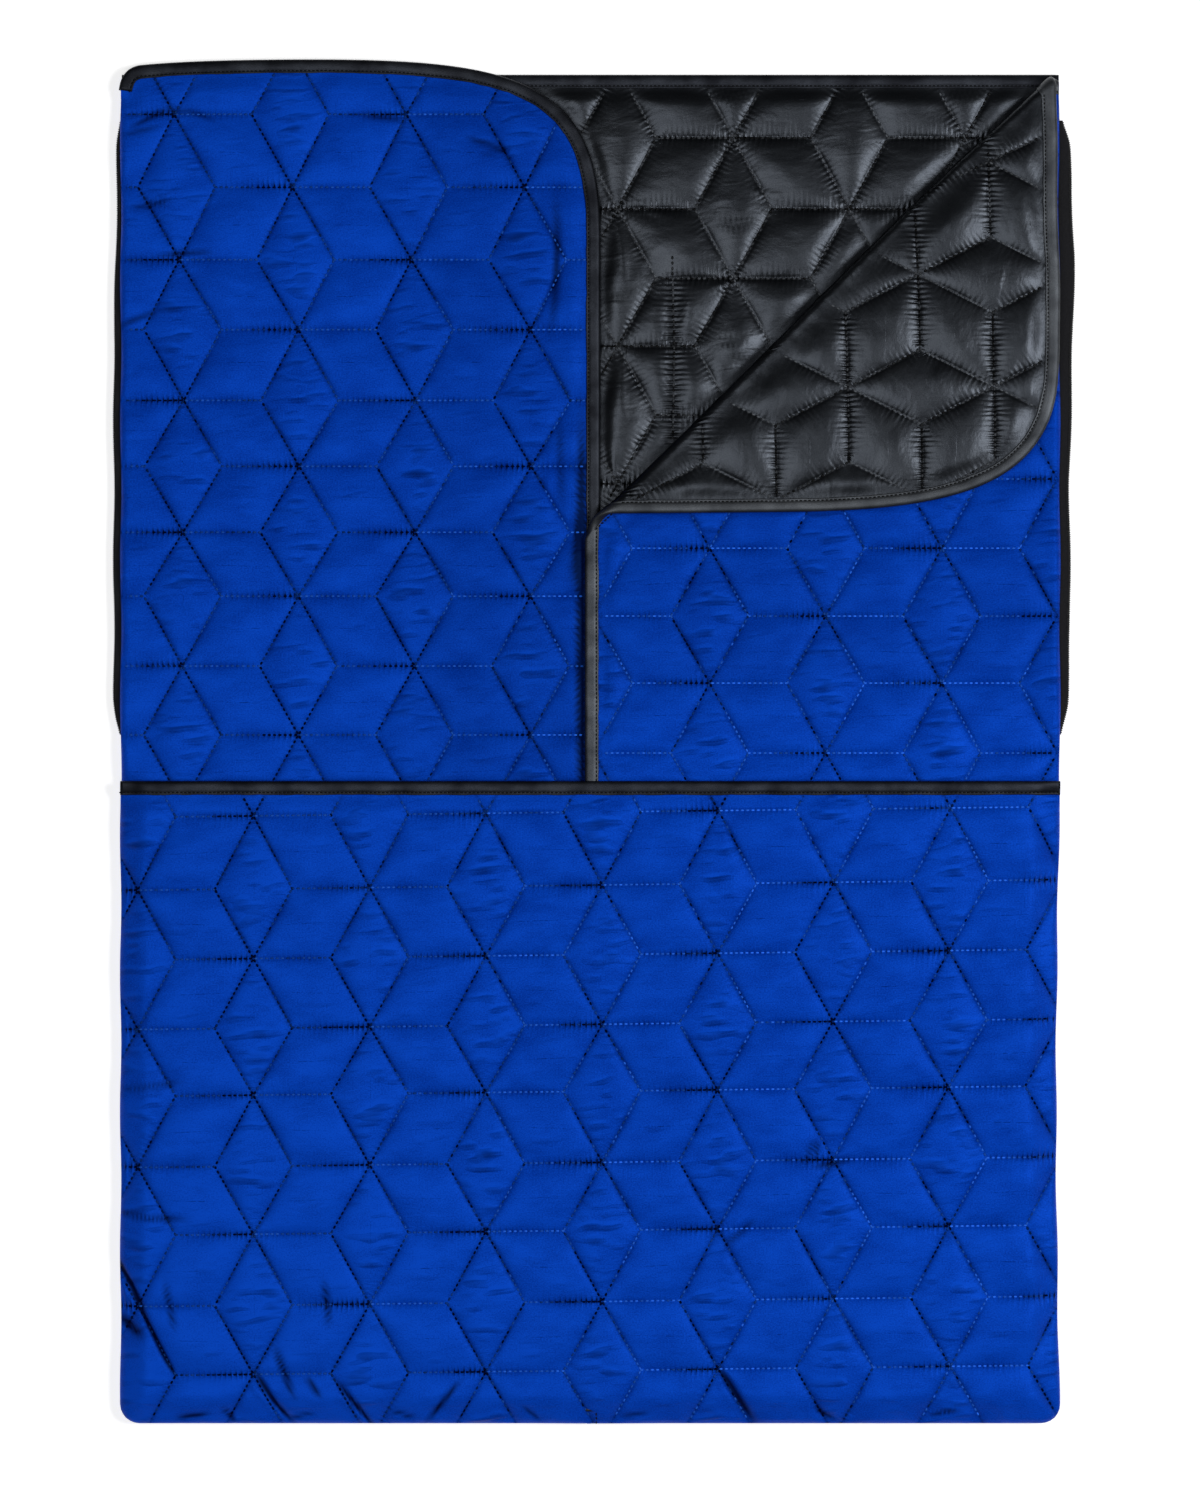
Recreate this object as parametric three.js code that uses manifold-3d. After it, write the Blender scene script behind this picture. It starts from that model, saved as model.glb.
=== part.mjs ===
// A quilted camping blanket lying flat: a back, two front flaps that overlap in the middle, and a foot
// panel across their lower ends. The right flap's upper corner is turned back to show the lining.
import * as THREE from 'three';
import Module from 'manifold-3d';

const wasm = await Module();
wasm.setup();

// Driving dimensions in millimetres. x runs across, y from the foot hem to the head, z up.
const BODY_WIDTH = 640;
const BACK_LENGTH = 918;
const FOOT_LENGTH = 436;
const LEFT_SIDE_LENGTH = 918;
const LEFT_PEAK_Y = 927.5;
const LEFT_EDGE_X = 5.2;
const RIGHT_LENGTH = 912;
const RIGHT_EDGE_X = -2.2;
const HEM_CORNER_RADIUS = 13;
const SIDE_DRAWN_IN = 2.6;
const SCALLOP = 0.7;
const SCALLOP_SHARPNESS = 5;

// Control points of the rounded corners of the two front panels.
const LEFT_CORNER = [
  { x: LEFT_EDGE_X, y: 812 },
  { x: LEFT_EDGE_X, y: 913.5 },
  { x: -50, y: LEFT_PEAK_Y },
  { x: -189, y: LEFT_PEAK_Y },
];
const LEFT_SHOULDER = [
  { x: -189, y: LEFT_PEAK_Y },
  { x: -270, y: LEFT_PEAK_Y },
  { x: -318, y: LEFT_SIDE_LENGTH },
];
const LEFT_SIDE_TOP = 910;
const RIGHT_CORNER = [
  { x: 120, y: RIGHT_LENGTH },
  { x: 30, y: RIGHT_LENGTH },
  { x: RIGHT_EDGE_X, y: 879 },
  { x: RIGHT_EDGE_X, y: 740 },
];
const CORNER_PARTS = 12;
const SHOULDER_PARTS = 4;
const HEM_CORNER_PARTS = 4;

// Thicknesses.
const GAP = 0.3;
const CLOTH = 1;
const BACK_SHELL = 3.2;
const STITCHED = 2.2;
const SHELL_PUFF = 5;
const LINING_PUFF = 4;
const BACK_PRESSED = 2.5;
const FRONT_PRESSED = 4.8;
const SEAM_RISE = 0.4;
const SHELL_SUNK = 1;
const LINING_SUNK = 0.5;
const BINDING_WIDTH = 9.5;
const HEM = CLOTH + GAP;
const EDGE_ROOM = 0.6;
const OVERCUT = 1;

// Heights of the layers, each resting just clear of the one below.
const BACK_LINING_Z = BACK_SHELL + GAP;
const BACK_TOP = BACK_LINING_Z + CLOTH;
const LEFT_Z = BACK_TOP + BACK_PRESSED + HEM + GAP;
const RIGHT_Z = LEFT_Z + CLOTH;
const FOOT_Z = RIGHT_Z + FRONT_PRESSED + HEM + GAP;
const RIGHT_TOP = GAP + STITCHED;
const ABOVE_ALL = 40;

// The pressed stretches of the hidden layers.
const UNDER_FOOT_TOP = 460;
const BESIDE_ZIPS = { inset: 15, from: 450, headInset: 12 };
const PRESSED_INSET = 3;

// The puffed stretches stop short of what lies on them.
const OPEN_FROM = FOOT_LENGTH + 2;
const COVERED_TO = FOOT_LENGTH - 1;
const OPEN_TO = 745;
const WINDOW_INSET = 4;
const FLAP_ROOM = 1;
const FLAP_INSET = 2;

// The right flap's bound edge lies on the left one's, so its cloth climbs there and lifts the foot panel.
const OVERLAP_X = 1.2;
const OVERLAP_HALF = 6;
const OVERLAP_RAMP = 45;
const OVERLAP_LIFT = STITCHED + 2 * HEM + GAP;
const RAMP_STEPS = [0, 0.25, 0.5, 0.75, 1];

// The turned corner rolls over an axis that climbs across the right flap.
const FOLD = { x: 15.2, y: 620.2, angle: THREE.MathUtils.degToRad(43.88), radius: 4.5, length: 437 };
const FOLD_SLIDE = 11;
const FOLD_SHEAR = 0.1;
const FOLD_BOW = 4.5;
const FOLD_BOW_REACH = 50;
const ROLL_STEPS = 8;
const ROLL_ROOM = 14;
const BOW_STOPS = [100, 150, 200, 240, 270, 290, 305];

// Quilting: six-spoked stars in shifted rows, whose spokes bound rhombic cells.
const STAR_SPACING = 158;
const ROW_SPACING = 47.1;
const SPOKES = [
  { across: 1 / 3, up: 0 },
  { across: 1 / 6, up: 1 },
  { across: -1 / 6, up: 1 },
  { across: -1 / 3, up: 0 },
];
const CELL_STEPS = 3;
const EDGE_EASE = 16;
const FULLNESS = { mean: 0.9, spread: 0.1, byRow: 2.1, byColumn: 1.7, byKind: 2.4 };
const STARS = {
  left: { x: -198.7, y: 651.8 },
  right: { x: 160.3, y: 550.5 },
  foot: { x: 8, y: 274.4 },
  back: { x: 176.6, y: 827.9 },
  flap: { x: 84, y: 776 },
};

// Side zips: how far the coil stands out past the side edge, from the head end down.
const ZIP_TUCK = 8;
const COIL_RADIUS = 1.2;
const COIL_STEPS = 30;
const COIL_SIDES = 6;
const LEFT_ZIP = [
  { y: 888, reach: 0.6 },
  { y: 873, reach: 3.2 },
  { y: 799, reach: 3.8 },
  { y: 744, reach: 5.4 },
  { y: 493, reach: 5.4 },
  { y: 479, reach: 3.8 },
  { y: 469, reach: 1 },
];
const RIGHT_ZIP = [
  { y: 888, reach: 2 },
  { y: 873, reach: 7.2 },
  { y: 850, reach: 8.6 },
  { y: 795, reach: 10.6 },
  { y: 744, reach: 9.6 },
  { y: 640, reach: 7.2 },
  { y: 545, reach: 7.8 },
  { y: 489, reach: 6 },
  { y: 478, reach: 3.4 },
  { y: 469, reach: 1.2 },
];

const FINISHES = {
  shell: { color: 0x0a3fae, roughness: 0.45 },
  lining: { color: 0x16181b, roughness: 0.32 },
  binding: { color: 0x1b1d20, roughness: 0.5 },
  tape: { color: 0x141517, roughness: 0.8 },
  coil: { color: 0x0e0f10, roughness: 0.4 },
};

const HALF_WIDTH = BODY_WIDTH / 2;
const LONGEST_SIDE = 48;
const MERGE_DIGITS = 3;

// Flat pattern work. A point is a Vector3 whose z says how far it is raised, from 0 to 1.

const at = (x, y, raised = 0) => new THREE.Vector3(x, y, raised);

const line = (normalX, normalY, offset) => ({ normalX, normalY, offset });

const reachPast = (cut, p) => cut.normalX * p.x + cut.normalY * p.y - cut.offset;

function crossing(a, b, cut) {
  const [from, to] = a.x < b.x || (a.x === b.x && a.y < b.y) ? [a, b] : [b, a];
  const before = reachPast(cut, from);
  const share = before / (before - reachPast(cut, to));
  return at(from.x + share * (to.x - from.x), from.y + share * (to.y - from.y));
}

function clip(polygon, cut) {
  const kept = [];
  polygon.forEach((b, i) => {
    const a = polygon.at(i - 1);
    const inside = reachPast(cut, b) >= 0;
    if (inside !== reachPast(cut, a) >= 0) {
      kept.push(crossing(a, b, cut));
    }
    if (inside) {
      kept.push(b);
    }
  });
  return kept;
}

const flipped = (cut) => line(-cut.normalX, -cut.normalY, -cut.offset);

const moved = (cut, distance) => line(cut.normalX, cut.normalY, cut.offset + distance);

// The inner side of each edge of a counter-clockwise polygon.
function sidesOf(polygon) {
  return polygon.map((b, i) => {
    const a = polygon.at(i - 1);
    const length = Math.hypot(b.x - a.x, b.y - a.y);
    const normalX = (a.y - b.y) / length;
    const normalY = (b.x - a.x) / length;
    return line(normalX, normalY, normalX * a.x + normalY * a.y);
  });
}

// The pieces of polygons between stops along a straight scale.
function slice(polygons, scale, stops) {
  let rest = polygons;
  const pieces = [];
  stops.forEach((stop) => {
    const cut = moved(scale, stop);
    pieces.push(...rest.map((polygon) => clip(polygon, flipped(cut))));
    rest = rest.map((polygon) => clip(polygon, cut));
  });
  return [...pieces, ...rest].filter((polygon) => polygon.length > 2);
}

const fan = (polygon) => polygon.slice(2).map((p, i) => [polygon[0], polygon[i + 1], p]);

const fans = (polygons) => polygons.flatMap(fan);

// Inward miter vectors at the points of a chain that runs counter-clockwise round a panel.
function miters(chain, closed) {
  const normals = chain.map((a, i) => {
    const b = chain[(i + 1) % chain.length];
    return new THREE.Vector2(a.y - b.y, b.x - a.x).normalize();
  });
  return chain.map((_, i) => {
    const before = closed || i > 0 ? normals.at(i - 1) : normals[0];
    const after = closed || i < chain.length - 1 ? normals[i] : before;
    return before.clone().add(after).divideScalar(1 + before.dot(after));
  });
}

function shrink(polygon, distance) {
  const inward = miters(polygon, true);
  return polygon.map((p, i) => at(p.x + distance * inward[i].x, p.y + distance * inward[i].y));
}

// Adds points so that no side is longer than the given length.
function divided(points, longest, closed = true) {
  return points.flatMap((a, i) => {
    if (!closed && i === points.length - 1) {
      return [a];
    }
    const b = points[(i + 1) % points.length];
    const parts = Math.ceil(Math.hypot(b.x - a.x, b.y - a.y) / longest);
    return Array.from({ length: parts }, (_, k) => a.clone().lerp(b, k / parts));
  });
}

const curvePoints = (curve, parts) => curve.getPoints(parts).map((p) => at(p.x, p.y));

const flatPoints = (points) => points.map((p) => new THREE.Vector2(p.x, p.y));

function arcPoints(centre, radius, from, to, parts) {
  return curvePoints(new THREE.EllipseCurve(centre.x, centre.y, radius, radius, from, to), parts);
}

// Solids.

const keyOf = (p) => p.toArray().map((v) => v.toFixed(MERGE_DIGITS)).join(' ');

function toSolid(positions, triangles) {
  const vertProperties = new Float32Array(positions.flatMap((p) => [p.x, p.y, p.z]));
  const triVerts = new Uint32Array(triangles.flat());
  return new wasm.Manifold(new wasm.Mesh({ numProp: 3, vertProperties, triVerts }));
}

// A closed solid between two faces that share one flat triangulation, laid in space by a placing function.
function between(triangles, lower, upper, place) {
  const points = [];
  const numbers = new Map();
  const numberOf = (p) => {
    const key = keyOf(at(p.x, p.y));
    if (!numbers.has(key)) {
      numbers.set(key, points.length);
      points.push(p);
    }
    return numbers.get(key);
  };
  const faces = triangles
    .map((triangle) => triangle.map(numberOf))
    .filter(([a, b, c]) => a !== b && b !== c && c !== a);
  const edges = new Set(faces.flatMap(([a, b, c]) => [`${a} ${b}`, `${b} ${c}`, `${c} ${a}`]));
  const below = points.length;
  const all = faces.flatMap(([a, b, c]) => [
    [a, b, c],
    [c + below, b + below, a + below],
  ]);
  edges.forEach((edge) => {
    const [a, b] = edge.split(' ').map(Number);
    if (!edges.has(`${b} ${a}`)) {
      all.push([a, a + below, b + below], [a, b + below, b]);
    }
  });
  const positions = [
    ...points.map((p) => place(p.x, p.y, upper(p.z))),
    ...points.map((p) => place(p.x, p.y, lower(p.z))),
  ];
  return toSolid(positions, all);
}

const level = (height) => () => height;

// A plain layer over convex polygons.
function layer(polygons, lower, upper, place) {
  return between(fans(polygons), level(lower), level(upper), place);
}

function fullnessOf(row, column, kind) {
  const phase = FULLNESS.byRow * row + FULLNESS.byColumn * column + FULLNESS.byKind * kind;
  return FULLNESS.mean + FULLNESS.spread * Math.sin(phase);
}

// Rhombic cells inside a region, each a grid whose inner points are raised.
function quilting(region, star) {
  const sides = sidesOf(region);
  const bounds = new THREE.Box3().setFromPoints(region).expandByScalar(STAR_SPACING);
  const triangles = [];
  const firstRow = Math.floor((bounds.min.y - star.y) / ROW_SPACING);
  const lastRow = Math.ceil((bounds.max.y - star.y) / ROW_SPACING);
  for (let row = firstRow; row <= lastRow; row += 1) {
    const shift = row % 2 === 0 ? 0 : STAR_SPACING / 2;
    const firstColumn = Math.floor((bounds.min.x - star.x - shift) / STAR_SPACING);
    const lastColumn = Math.ceil((bounds.max.x - star.x - shift) / STAR_SPACING);
    for (let column = firstColumn; column <= lastColumn; column += 1) {
      const centre = at(star.x + shift + column * STAR_SPACING, star.y + row * ROW_SPACING);
      for (let kind = 0; kind < SPOKES.length - 1; kind += 1) {
        const fullness = fullnessOf(row, column, kind);
        triangles.push(...quiltedCell(centre, SPOKES[kind], SPOKES[kind + 1], fullness, sides));
      }
    }
  }
  return triangles;
}

function quiltedCell(centre, first, second, fullness, sides) {
  const corner = (s, t) => {
    const x = centre.x + (STAR_SPACING * (first.across * s + second.across * t)) / CELL_STEPS;
    const y = centre.y + (ROW_SPACING * (first.up * s + second.up * t)) / CELL_STEPS;
    const onStitches = s === 0 || t === 0 || s === CELL_STEPS || t === CELL_STEPS;
    const fromEdge = Math.min(...sides.map((side) => reachPast(side, at(x, y))));
    const ease = THREE.MathUtils.smoothstep(fromEdge, 0, EDGE_EASE);
    return at(x, y, onStitches ? 0 : fullness * ease);
  };
  const triangles = [];
  for (let s = 0; s < CELL_STEPS; s += 1) {
    for (let t = 0; t < CELL_STEPS; t += 1) {
      const square = [corner(s, t), corner(s + 1, t), corner(s + 1, t + 1), corner(s, t + 1)];
      triangles.push(...fan(sides.reduce((polygon, side) => clip(polygon, side), square)));
    }
  }
  return triangles;
}

// Quilting on a panel's upper face, its stitched lines a little above the plain layer it is joined to.
function puffedUp(region, star, top, place) {
  const upper = (raised) => top + SEAM_RISE + raised * SHELL_PUFF;
  return between(quilting(region, star), level(top - SHELL_SUNK), upper, place);
}

// The same on a lining: up on the back's, and down on the turned flap's, which the roll brings to the top.
function liningUp(region, star, top, place) {
  const upper = (raised) => top + SEAM_RISE + raised * LINING_PUFF;
  return between(quilting(region, star), level(top - LINING_SUNK), upper, place);
}

function liningDown(region, star, bottom, place) {
  const lower = (raised) => bottom - SEAM_RISE - raised * LINING_PUFF;
  return between(quilting(region, star), lower, level(bottom + LINING_SUNK), place);
}

// Four-sided strips along a chain of edge points, between two distances in from the edge.
function edging(chain, from, to) {
  const inward = miters(chain, false);
  const offset = (i, depth) => at(chain[i].x + depth * inward[i].x, chain[i].y + depth * inward[i].y);
  const strip = (i) => [offset(i, from), offset(i + 1, from), offset(i + 1, to), offset(i, to)];
  return chain.slice(1).map((_, i) => strip(i));
}

function lengthened(chain, extra) {
  const beyond = (end, inside) => end.clone().add(end.clone().sub(inside).setLength(extra));
  return [beyond(chain[0], chain[1]), ...chain.slice(1, -1), beyond(chain.at(-1), chain.at(-2))];
}

// A strip folded round a panel's edge between two depths: an envelope with a slot for the edge.
function binding(chain, lower, upper, pieces, place) {
  const outer = -CLOTH - EDGE_ROOM;
  const inner = outer + BINDING_WIDTH;
  const envelope = layer(pieces(edging(chain, outer, inner)), lower - HEM, upper + HEM, place);
  const slotStrips = edging(lengthened(chain, OVERCUT), -EDGE_ROOM, inner + OVERCUT);
  return envelope.subtract(layer(pieces(slotStrips), lower - GAP, upper + GAP, place));
}

// An upright prism over any outline.
function prism(outline, bottom, top) {
  const shape = new THREE.Shape(flatPoints(outline));
  const geometry = new THREE.ExtrudeGeometry(shape, { depth: top - bottom, bevelEnabled: false });
  return fromGeometry(geometry.translate(0, 0, bottom));
}

function fromGeometry(geometry) {
  const source = geometry.getAttribute('position');
  const numbers = new Map();
  const positions = [];
  const indices = Array.from({ length: source.count }, (_, i) => {
    const p = new THREE.Vector3().fromBufferAttribute(source, i);
    const key = keyOf(p);
    if (!numbers.has(key)) {
      numbers.set(key, positions.length);
      positions.push(p);
    }
    return numbers.get(key);
  });
  const order = geometry.index ? Array.from(geometry.index.array, (i) => indices[i]) : indices;
  const triangles = [];
  for (let i = 0; i < order.length; i += 3) {
    triangles.push(order.slice(i, i + 3));
  }
  return toSolid(positions, triangles);
}

// How the layers lie.

// 1 over the overlap of the two bound front edges, falling to 0 on both sides of it.
function overlap(x) {
  const past = (Math.abs(x - OVERLAP_X) - OVERLAP_HALF) / OVERLAP_RAMP;
  return 1 - THREE.MathUtils.smoothstep(past, 0, 1);
}

const overlapStops = (side) =>
  RAMP_STEPS.map((share) => OVERLAP_X + side * (OVERLAP_HALF + share * OVERLAP_RAMP));

const placeBack = (x, y, z) => new THREE.Vector3(x, y, z);

const placeLeft = (x, y, z) => new THREE.Vector3(x, y, LEFT_Z + z);

const placeFoot = (x, y, z) => new THREE.Vector3(x, y, FOOT_Z + z + OVERLAP_LIFT * overlap(x));

const ALONG = { x: Math.cos(FOLD.angle), y: Math.sin(FOLD.angle) };
const foldLine = line(-ALONG.y, ALONG.x, -ALONG.y * FOLD.x + ALONG.x * FOLD.y);
const startLine = line(ALONG.x, ALONG.y, ALONG.x * FOLD.x + ALONG.y * FOLD.y);
const ROLL_LENGTH = Math.PI * FOLD.radius;

// The right flap's cloth lies flat up to the fold line, goes round the roll and comes back on itself.
function placeRight(x, y, z) {
  const flat = at(x, y);
  const past = reachPast(foldLine, flat);
  const start = reachPast(startLine, flat);
  const turn = THREE.MathUtils.clamp(past / FOLD.radius, 0, Math.PI);
  const back = Math.max(past - ROLL_LENGTH, 0);
  const along = start + (FOLD_SLIDE * turn) / Math.PI + FOLD_SHEAR * back;
  const share = THREE.MathUtils.clamp(along / FOLD.length, 0, 1);
  const unbowed = Math.min(past, 0) + (FOLD.radius - z) * Math.sin(turn) - back;
  const bow = FOLD_BOW * Math.sin(Math.PI * share ** 2) * Math.exp(-Math.abs(unbowed) / FOLD_BOW_REACH);
  const across = unbowed + bow;
  const placedX = FOLD.x + along * ALONG.x - across * ALONG.y;
  const placedY = FOLD.y + along * ALONG.y + across * ALONG.x;
  const height = FOLD.radius - (FOLD.radius - z) * Math.cos(turn);
  const lift = OVERLAP_LIFT * overlap(past > 0 ? FOLD.x + start * ALONG.x : x);
  return new THREE.Vector3(placedX, placedY, RIGHT_Z + height + lift);
}

// Outlines of the cut panels, counter-clockwise from the left end of the foot hem.

const hemCorner = (side) =>
  arcPoints(
    at(side * (HALF_WIDTH - HEM_CORNER_RADIUS), HEM_CORNER_RADIUS),
    HEM_CORNER_RADIUS,
    side < 0 ? Math.PI : -Math.PI / 2,
    side < 0 ? 1.5 * Math.PI : 0,
    HEM_CORNER_PARTS,
  );

const cornerPoints = (points) =>
  curvePoints(new THREE.CubicBezierCurve(...flatPoints(points)), CORNER_PARTS);

const backOutline = [
  ...hemCorner(-1),
  ...hemCorner(1),
  at(HALF_WIDTH, BACK_LENGTH),
  at(-HALF_WIDTH, BACK_LENGTH),
];

const leftBoundEdge = [
  at(LEFT_EDGE_X, 0),
  ...cornerPoints(LEFT_CORNER),
  ...curvePoints(new THREE.QuadraticBezierCurve(...flatPoints(LEFT_SHOULDER)), SHOULDER_PARTS).slice(1),
];

const leftOutline = [...hemCorner(-1), ...leftBoundEdge, at(-HALF_WIDTH, LEFT_SIDE_TOP)];

const rightBoundEdge = [
  at(HALF_WIDTH, RIGHT_LENGTH),
  ...cornerPoints(RIGHT_CORNER),
  at(RIGHT_EDGE_X, 0),
];

const rightOutline = [...hemCorner(1), ...rightBoundEdge];

const footOutline = [
  ...hemCorner(-1),
  ...hemCorner(1),
  at(HALF_WIDTH, FOOT_LENGTH),
  at(-HALF_WIDTH, FOOT_LENGTH),
];

const whole = (outline) => divided(outline, LONGEST_SIDE);

function rectangle(left, bottom, right, top) {
  return [at(left, bottom), at(right, bottom), at(right, top), at(left, top)];
}

const above = (polygon, y) => clip(polygon, line(0, 1, y));

const below = (polygon, y) => clip(polygon, line(0, -1, -y));

// The right panel cut where it climbs over the left one and where it rolls.
function rolledPieces(polygons) {
  const stops = [...overlapStops(1), ...BOW_STOPS];
  const unturned = polygons.map((polygon) => clip(polygon, flipped(foldLine)));
  const flat = slice(unturned, line(1, 0, 0), stops);
  const rollStops = Array.from({ length: ROLL_STEPS }, (_, i) => ((i + 1) * ROLL_LENGTH) / ROLL_STEPS);
  const turned = slice(polygons.map((polygon) => clip(polygon, foldLine)), foldLine, rollStops);
  const alongStops = stops.map((x) => (x - FOLD.x) / ALONG.x);
  return [...flat, ...slice(turned, startLine, alongStops)];
}

const climbingPieces = (polygons) => slice(polygons, line(1, 0, 0), overlapStops(1));

const ridgePieces = (polygons) =>
  slice(polygons, line(1, 0, 0), [...overlapStops(-1).reverse(), ...overlapStops(1)]);

const wholePieces = (polygons) => polygons;

// Back.

// The head edge is thinner from below, so that its binding lies level with the underside.
function backPanel() {
  const reach = HALF_WIDTH + OVERCUT;
  const thinEdge = rectangle(-reach, BACK_LENGTH - BINDING_WIDTH, reach, BACK_LENGTH + OVERCUT);
  return layer([whole(backOutline)], 0, BACK_SHELL, placeBack).subtract(prism(thinEdge, -OVERCUT, HEM));
}

// The part of the lining that the turned corner uncovers, up to a distance from the roll.
function window(left, top, fromRoll) {
  return clip(rectangle(left, FOOT_LENGTH, HALF_WIDTH, top), moved(foldLine, fromRoll));
}

function backLining() {
  const flat = layer([whole(backOutline)], BACK_LINING_Z, BACK_TOP, placeBack);
  const { inset, from, headInset } = BESIDE_ZIPS;
  const besideZips = rectangle(inset - HALF_WIDTH, from, HALF_WIDTH - inset, BACK_LENGTH - headInset);
  const underFoot = below(shrink(backOutline, PRESSED_INSET), UNDER_FOOT_TOP);
  const pressed = layer([besideZips], BACK_TOP - LINING_SUNK, BACK_TOP + BACK_PRESSED, placeBack)
    .add(layer([underFoot], BACK_TOP - LINING_SUNK, BACK_TOP + BACK_PRESSED, placeBack))
    .subtract(prism(window(-OVERCUT, BACK_LENGTH + OVERCUT, -ROLL_ROOM), BACK_TOP, LEFT_Z));
  const fromRoll = FOLD.radius + 2 * HEM + FOLD_BOW;
  const visible = window(LEFT_EDGE_X + WINDOW_INSET, BACK_LENGTH - BINDING_WIDTH, fromRoll);
  return flat.add(pressed).add(liningUp(visible, STARS.back, BACK_TOP, placeBack));
}

// Fronts.

function leftFrontPanel() {
  const inner = shrink(leftOutline, BINDING_WIDTH);
  const visible = above(inner, OPEN_FROM);
  const covered = below(inner, COVERED_TO);
  return layer([whole(leftOutline)], 0, STITCHED, placeLeft)
    .add(layer([covered], STITCHED - SHELL_SUNK, FRONT_PRESSED, placeLeft))
    .add(puffedUp(visible, STARS.left, STITCHED, placeLeft));
}

// The turned flap's outline where it lies on the panel.
function flapFootprint() {
  const turned = clip(rightOutline, moved(foldLine, ROLL_LENGTH));
  return turned.map((p) => placeRight(p.x, p.y, 0)).map((p) => at(p.x, p.y)).reverse();
}

function rightFrontPanel() {
  const inner = shrink(rightOutline, BINDING_WIDTH);
  const visible = below(above(inner, OPEN_FROM), OPEN_TO);
  const clearOfRoll = clip(visible, moved(flipped(foldLine), ROLL_ROOM));
  const flapArea = prism(shrink(flapFootprint(), -HEM - FLAP_ROOM), 0, ABOVE_ALL);
  const beyondClimb = line(1, 0, OVERLAP_X + OVERLAP_HALF + OVERLAP_RAMP / 2);
  const underFoot = clip(below(inner, COVERED_TO), beyondClimb);
  const underFlap = clip(shrink(flapFootprint(), BINDING_WIDTH + FLAP_INSET), beyondClimb);
  return layer(rolledPieces([whole(rightOutline)]), GAP, RIGHT_TOP, placeRight)
    .add(layer(climbingPieces([underFoot]), RIGHT_TOP - SHELL_SUNK, FRONT_PRESSED, placeRight))
    .add(layer(climbingPieces([underFlap]), RIGHT_TOP - SHELL_SUNK, FRONT_PRESSED, placeRight))
    .add(puffedUp(clearOfRoll, STARS.right, RIGHT_TOP, placeRight).subtract(flapArea));
}

function rightFrontLining() {
  const inner = shrink(rightOutline, BINDING_WIDTH);
  const turned = clip(inner, moved(foldLine, ROLL_LENGTH + FLAP_INSET));
  return layer(rolledPieces([whole(rightOutline)]), -CLOTH, 0, placeRight)
    .add(liningDown(turned, STARS.flap, -CLOTH, placeRight));
}

// Foot.

function footPanel() {
  return layer(ridgePieces([whole(footOutline)]), 0, STITCHED, placeFoot)
    .add(puffedUp(shrink(footOutline, BINDING_WIDTH), STARS.foot, STITCHED, placeFoot));
}

// Zips.

// Points along a closed zip's side of the body, offset inwards from the coil's outermost line.
function zipEdge(rows, side, inwards) {
  const curve = new THREE.CatmullRomCurve3(
    rows.map((row) => new THREE.Vector3(side * (HALF_WIDTH + row.reach - inwards), row.y, 0)),
    false,
    'centripetal',
  );
  return curve.getPoints(COIL_STEPS);
}

function zipTape(rows, side, bottom) {
  const outer = zipEdge(rows, side, 2 * COIL_RADIUS + GAP);
  const tucked = side * (HALF_WIDTH - ZIP_TUCK);
  const strips = outer.slice(1).map((p, i) => {
    const strip = [at(tucked, outer[i].y), at(tucked, p.y), p, outer[i]];
    return side < 0 ? strip.reverse() : strip;
  });
  return layer(strips, bottom, bottom + CLOTH, placeBack);
}

function zipCoil(rows, side, height) {
  const path = new THREE.CatmullRomCurve3(
    zipEdge(rows, side, COIL_RADIUS).map((p) => new THREE.Vector3(p.x, p.y, height)),
  );
  const circle = new THREE.EllipseCurve(0, 0, COIL_RADIUS, COIL_RADIUS, 0, 2 * Math.PI);
  const section = new THREE.Shape(circle.getPoints(COIL_SIDES).slice(0, -1));
  return fromGeometry(new THREE.ExtrudeGeometry(section, { steps: COIL_STEPS, extrudePath: path }));
}

// The side edges are drawn in a little beside the foot panel and scallop with the quilting rows.
function settled(p) {
  const share = p.x / HALF_WIDTH;
  const besideFoot = Math.sin(Math.PI * THREE.MathUtils.clamp(p.y / FOOT_LENGTH, 0, 1));
  const drawn = share > 0 ? SIDE_DRAWN_IN * share * besideFoot : 0;
  const scallop = SCALLOP * share ** SCALLOP_SHARPNESS * Math.sin((Math.PI * p.y) / ROW_SPACING);
  return new THREE.Vector3(p.x - drawn + scallop, p.y, p.z);
}

function meshOf(name, solid, finish) {
  const { vertProperties, triVerts } = solid.getMesh();
  const positions = [];
  for (let i = 0; i < vertProperties.length; i += 3) {
    positions.push(...settled(new THREE.Vector3(...vertProperties.slice(i, i + 3))).toArray());
  }
  const geometry = new THREE.BufferGeometry();
  geometry.setAttribute('position', new THREE.Float32BufferAttribute(positions, 3));
  geometry.setIndex(Array.from(triVerts));
  geometry.computeVertexNormals();
  const material = new THREE.MeshStandardMaterial({ ...FINISHES[finish], metalness: 0 });
  const mesh = new THREE.Mesh(geometry, material);
  mesh.name = name;
  return mesh;
}

const headEdge = (length) => divided([at(HALF_WIDTH, length), at(-HALF_WIDTH, length)], LONGEST_SIDE, false);
const rightBoundChain = divided(rightBoundEdge, LONGEST_SIDE, false);
const backTapeZ = BACK_TOP + GAP;
const frontTapeZ = LEFT_Z - GAP - CLOTH;
const coilZ = (backTapeZ + frontTapeZ + CLOTH) / 2;

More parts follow.
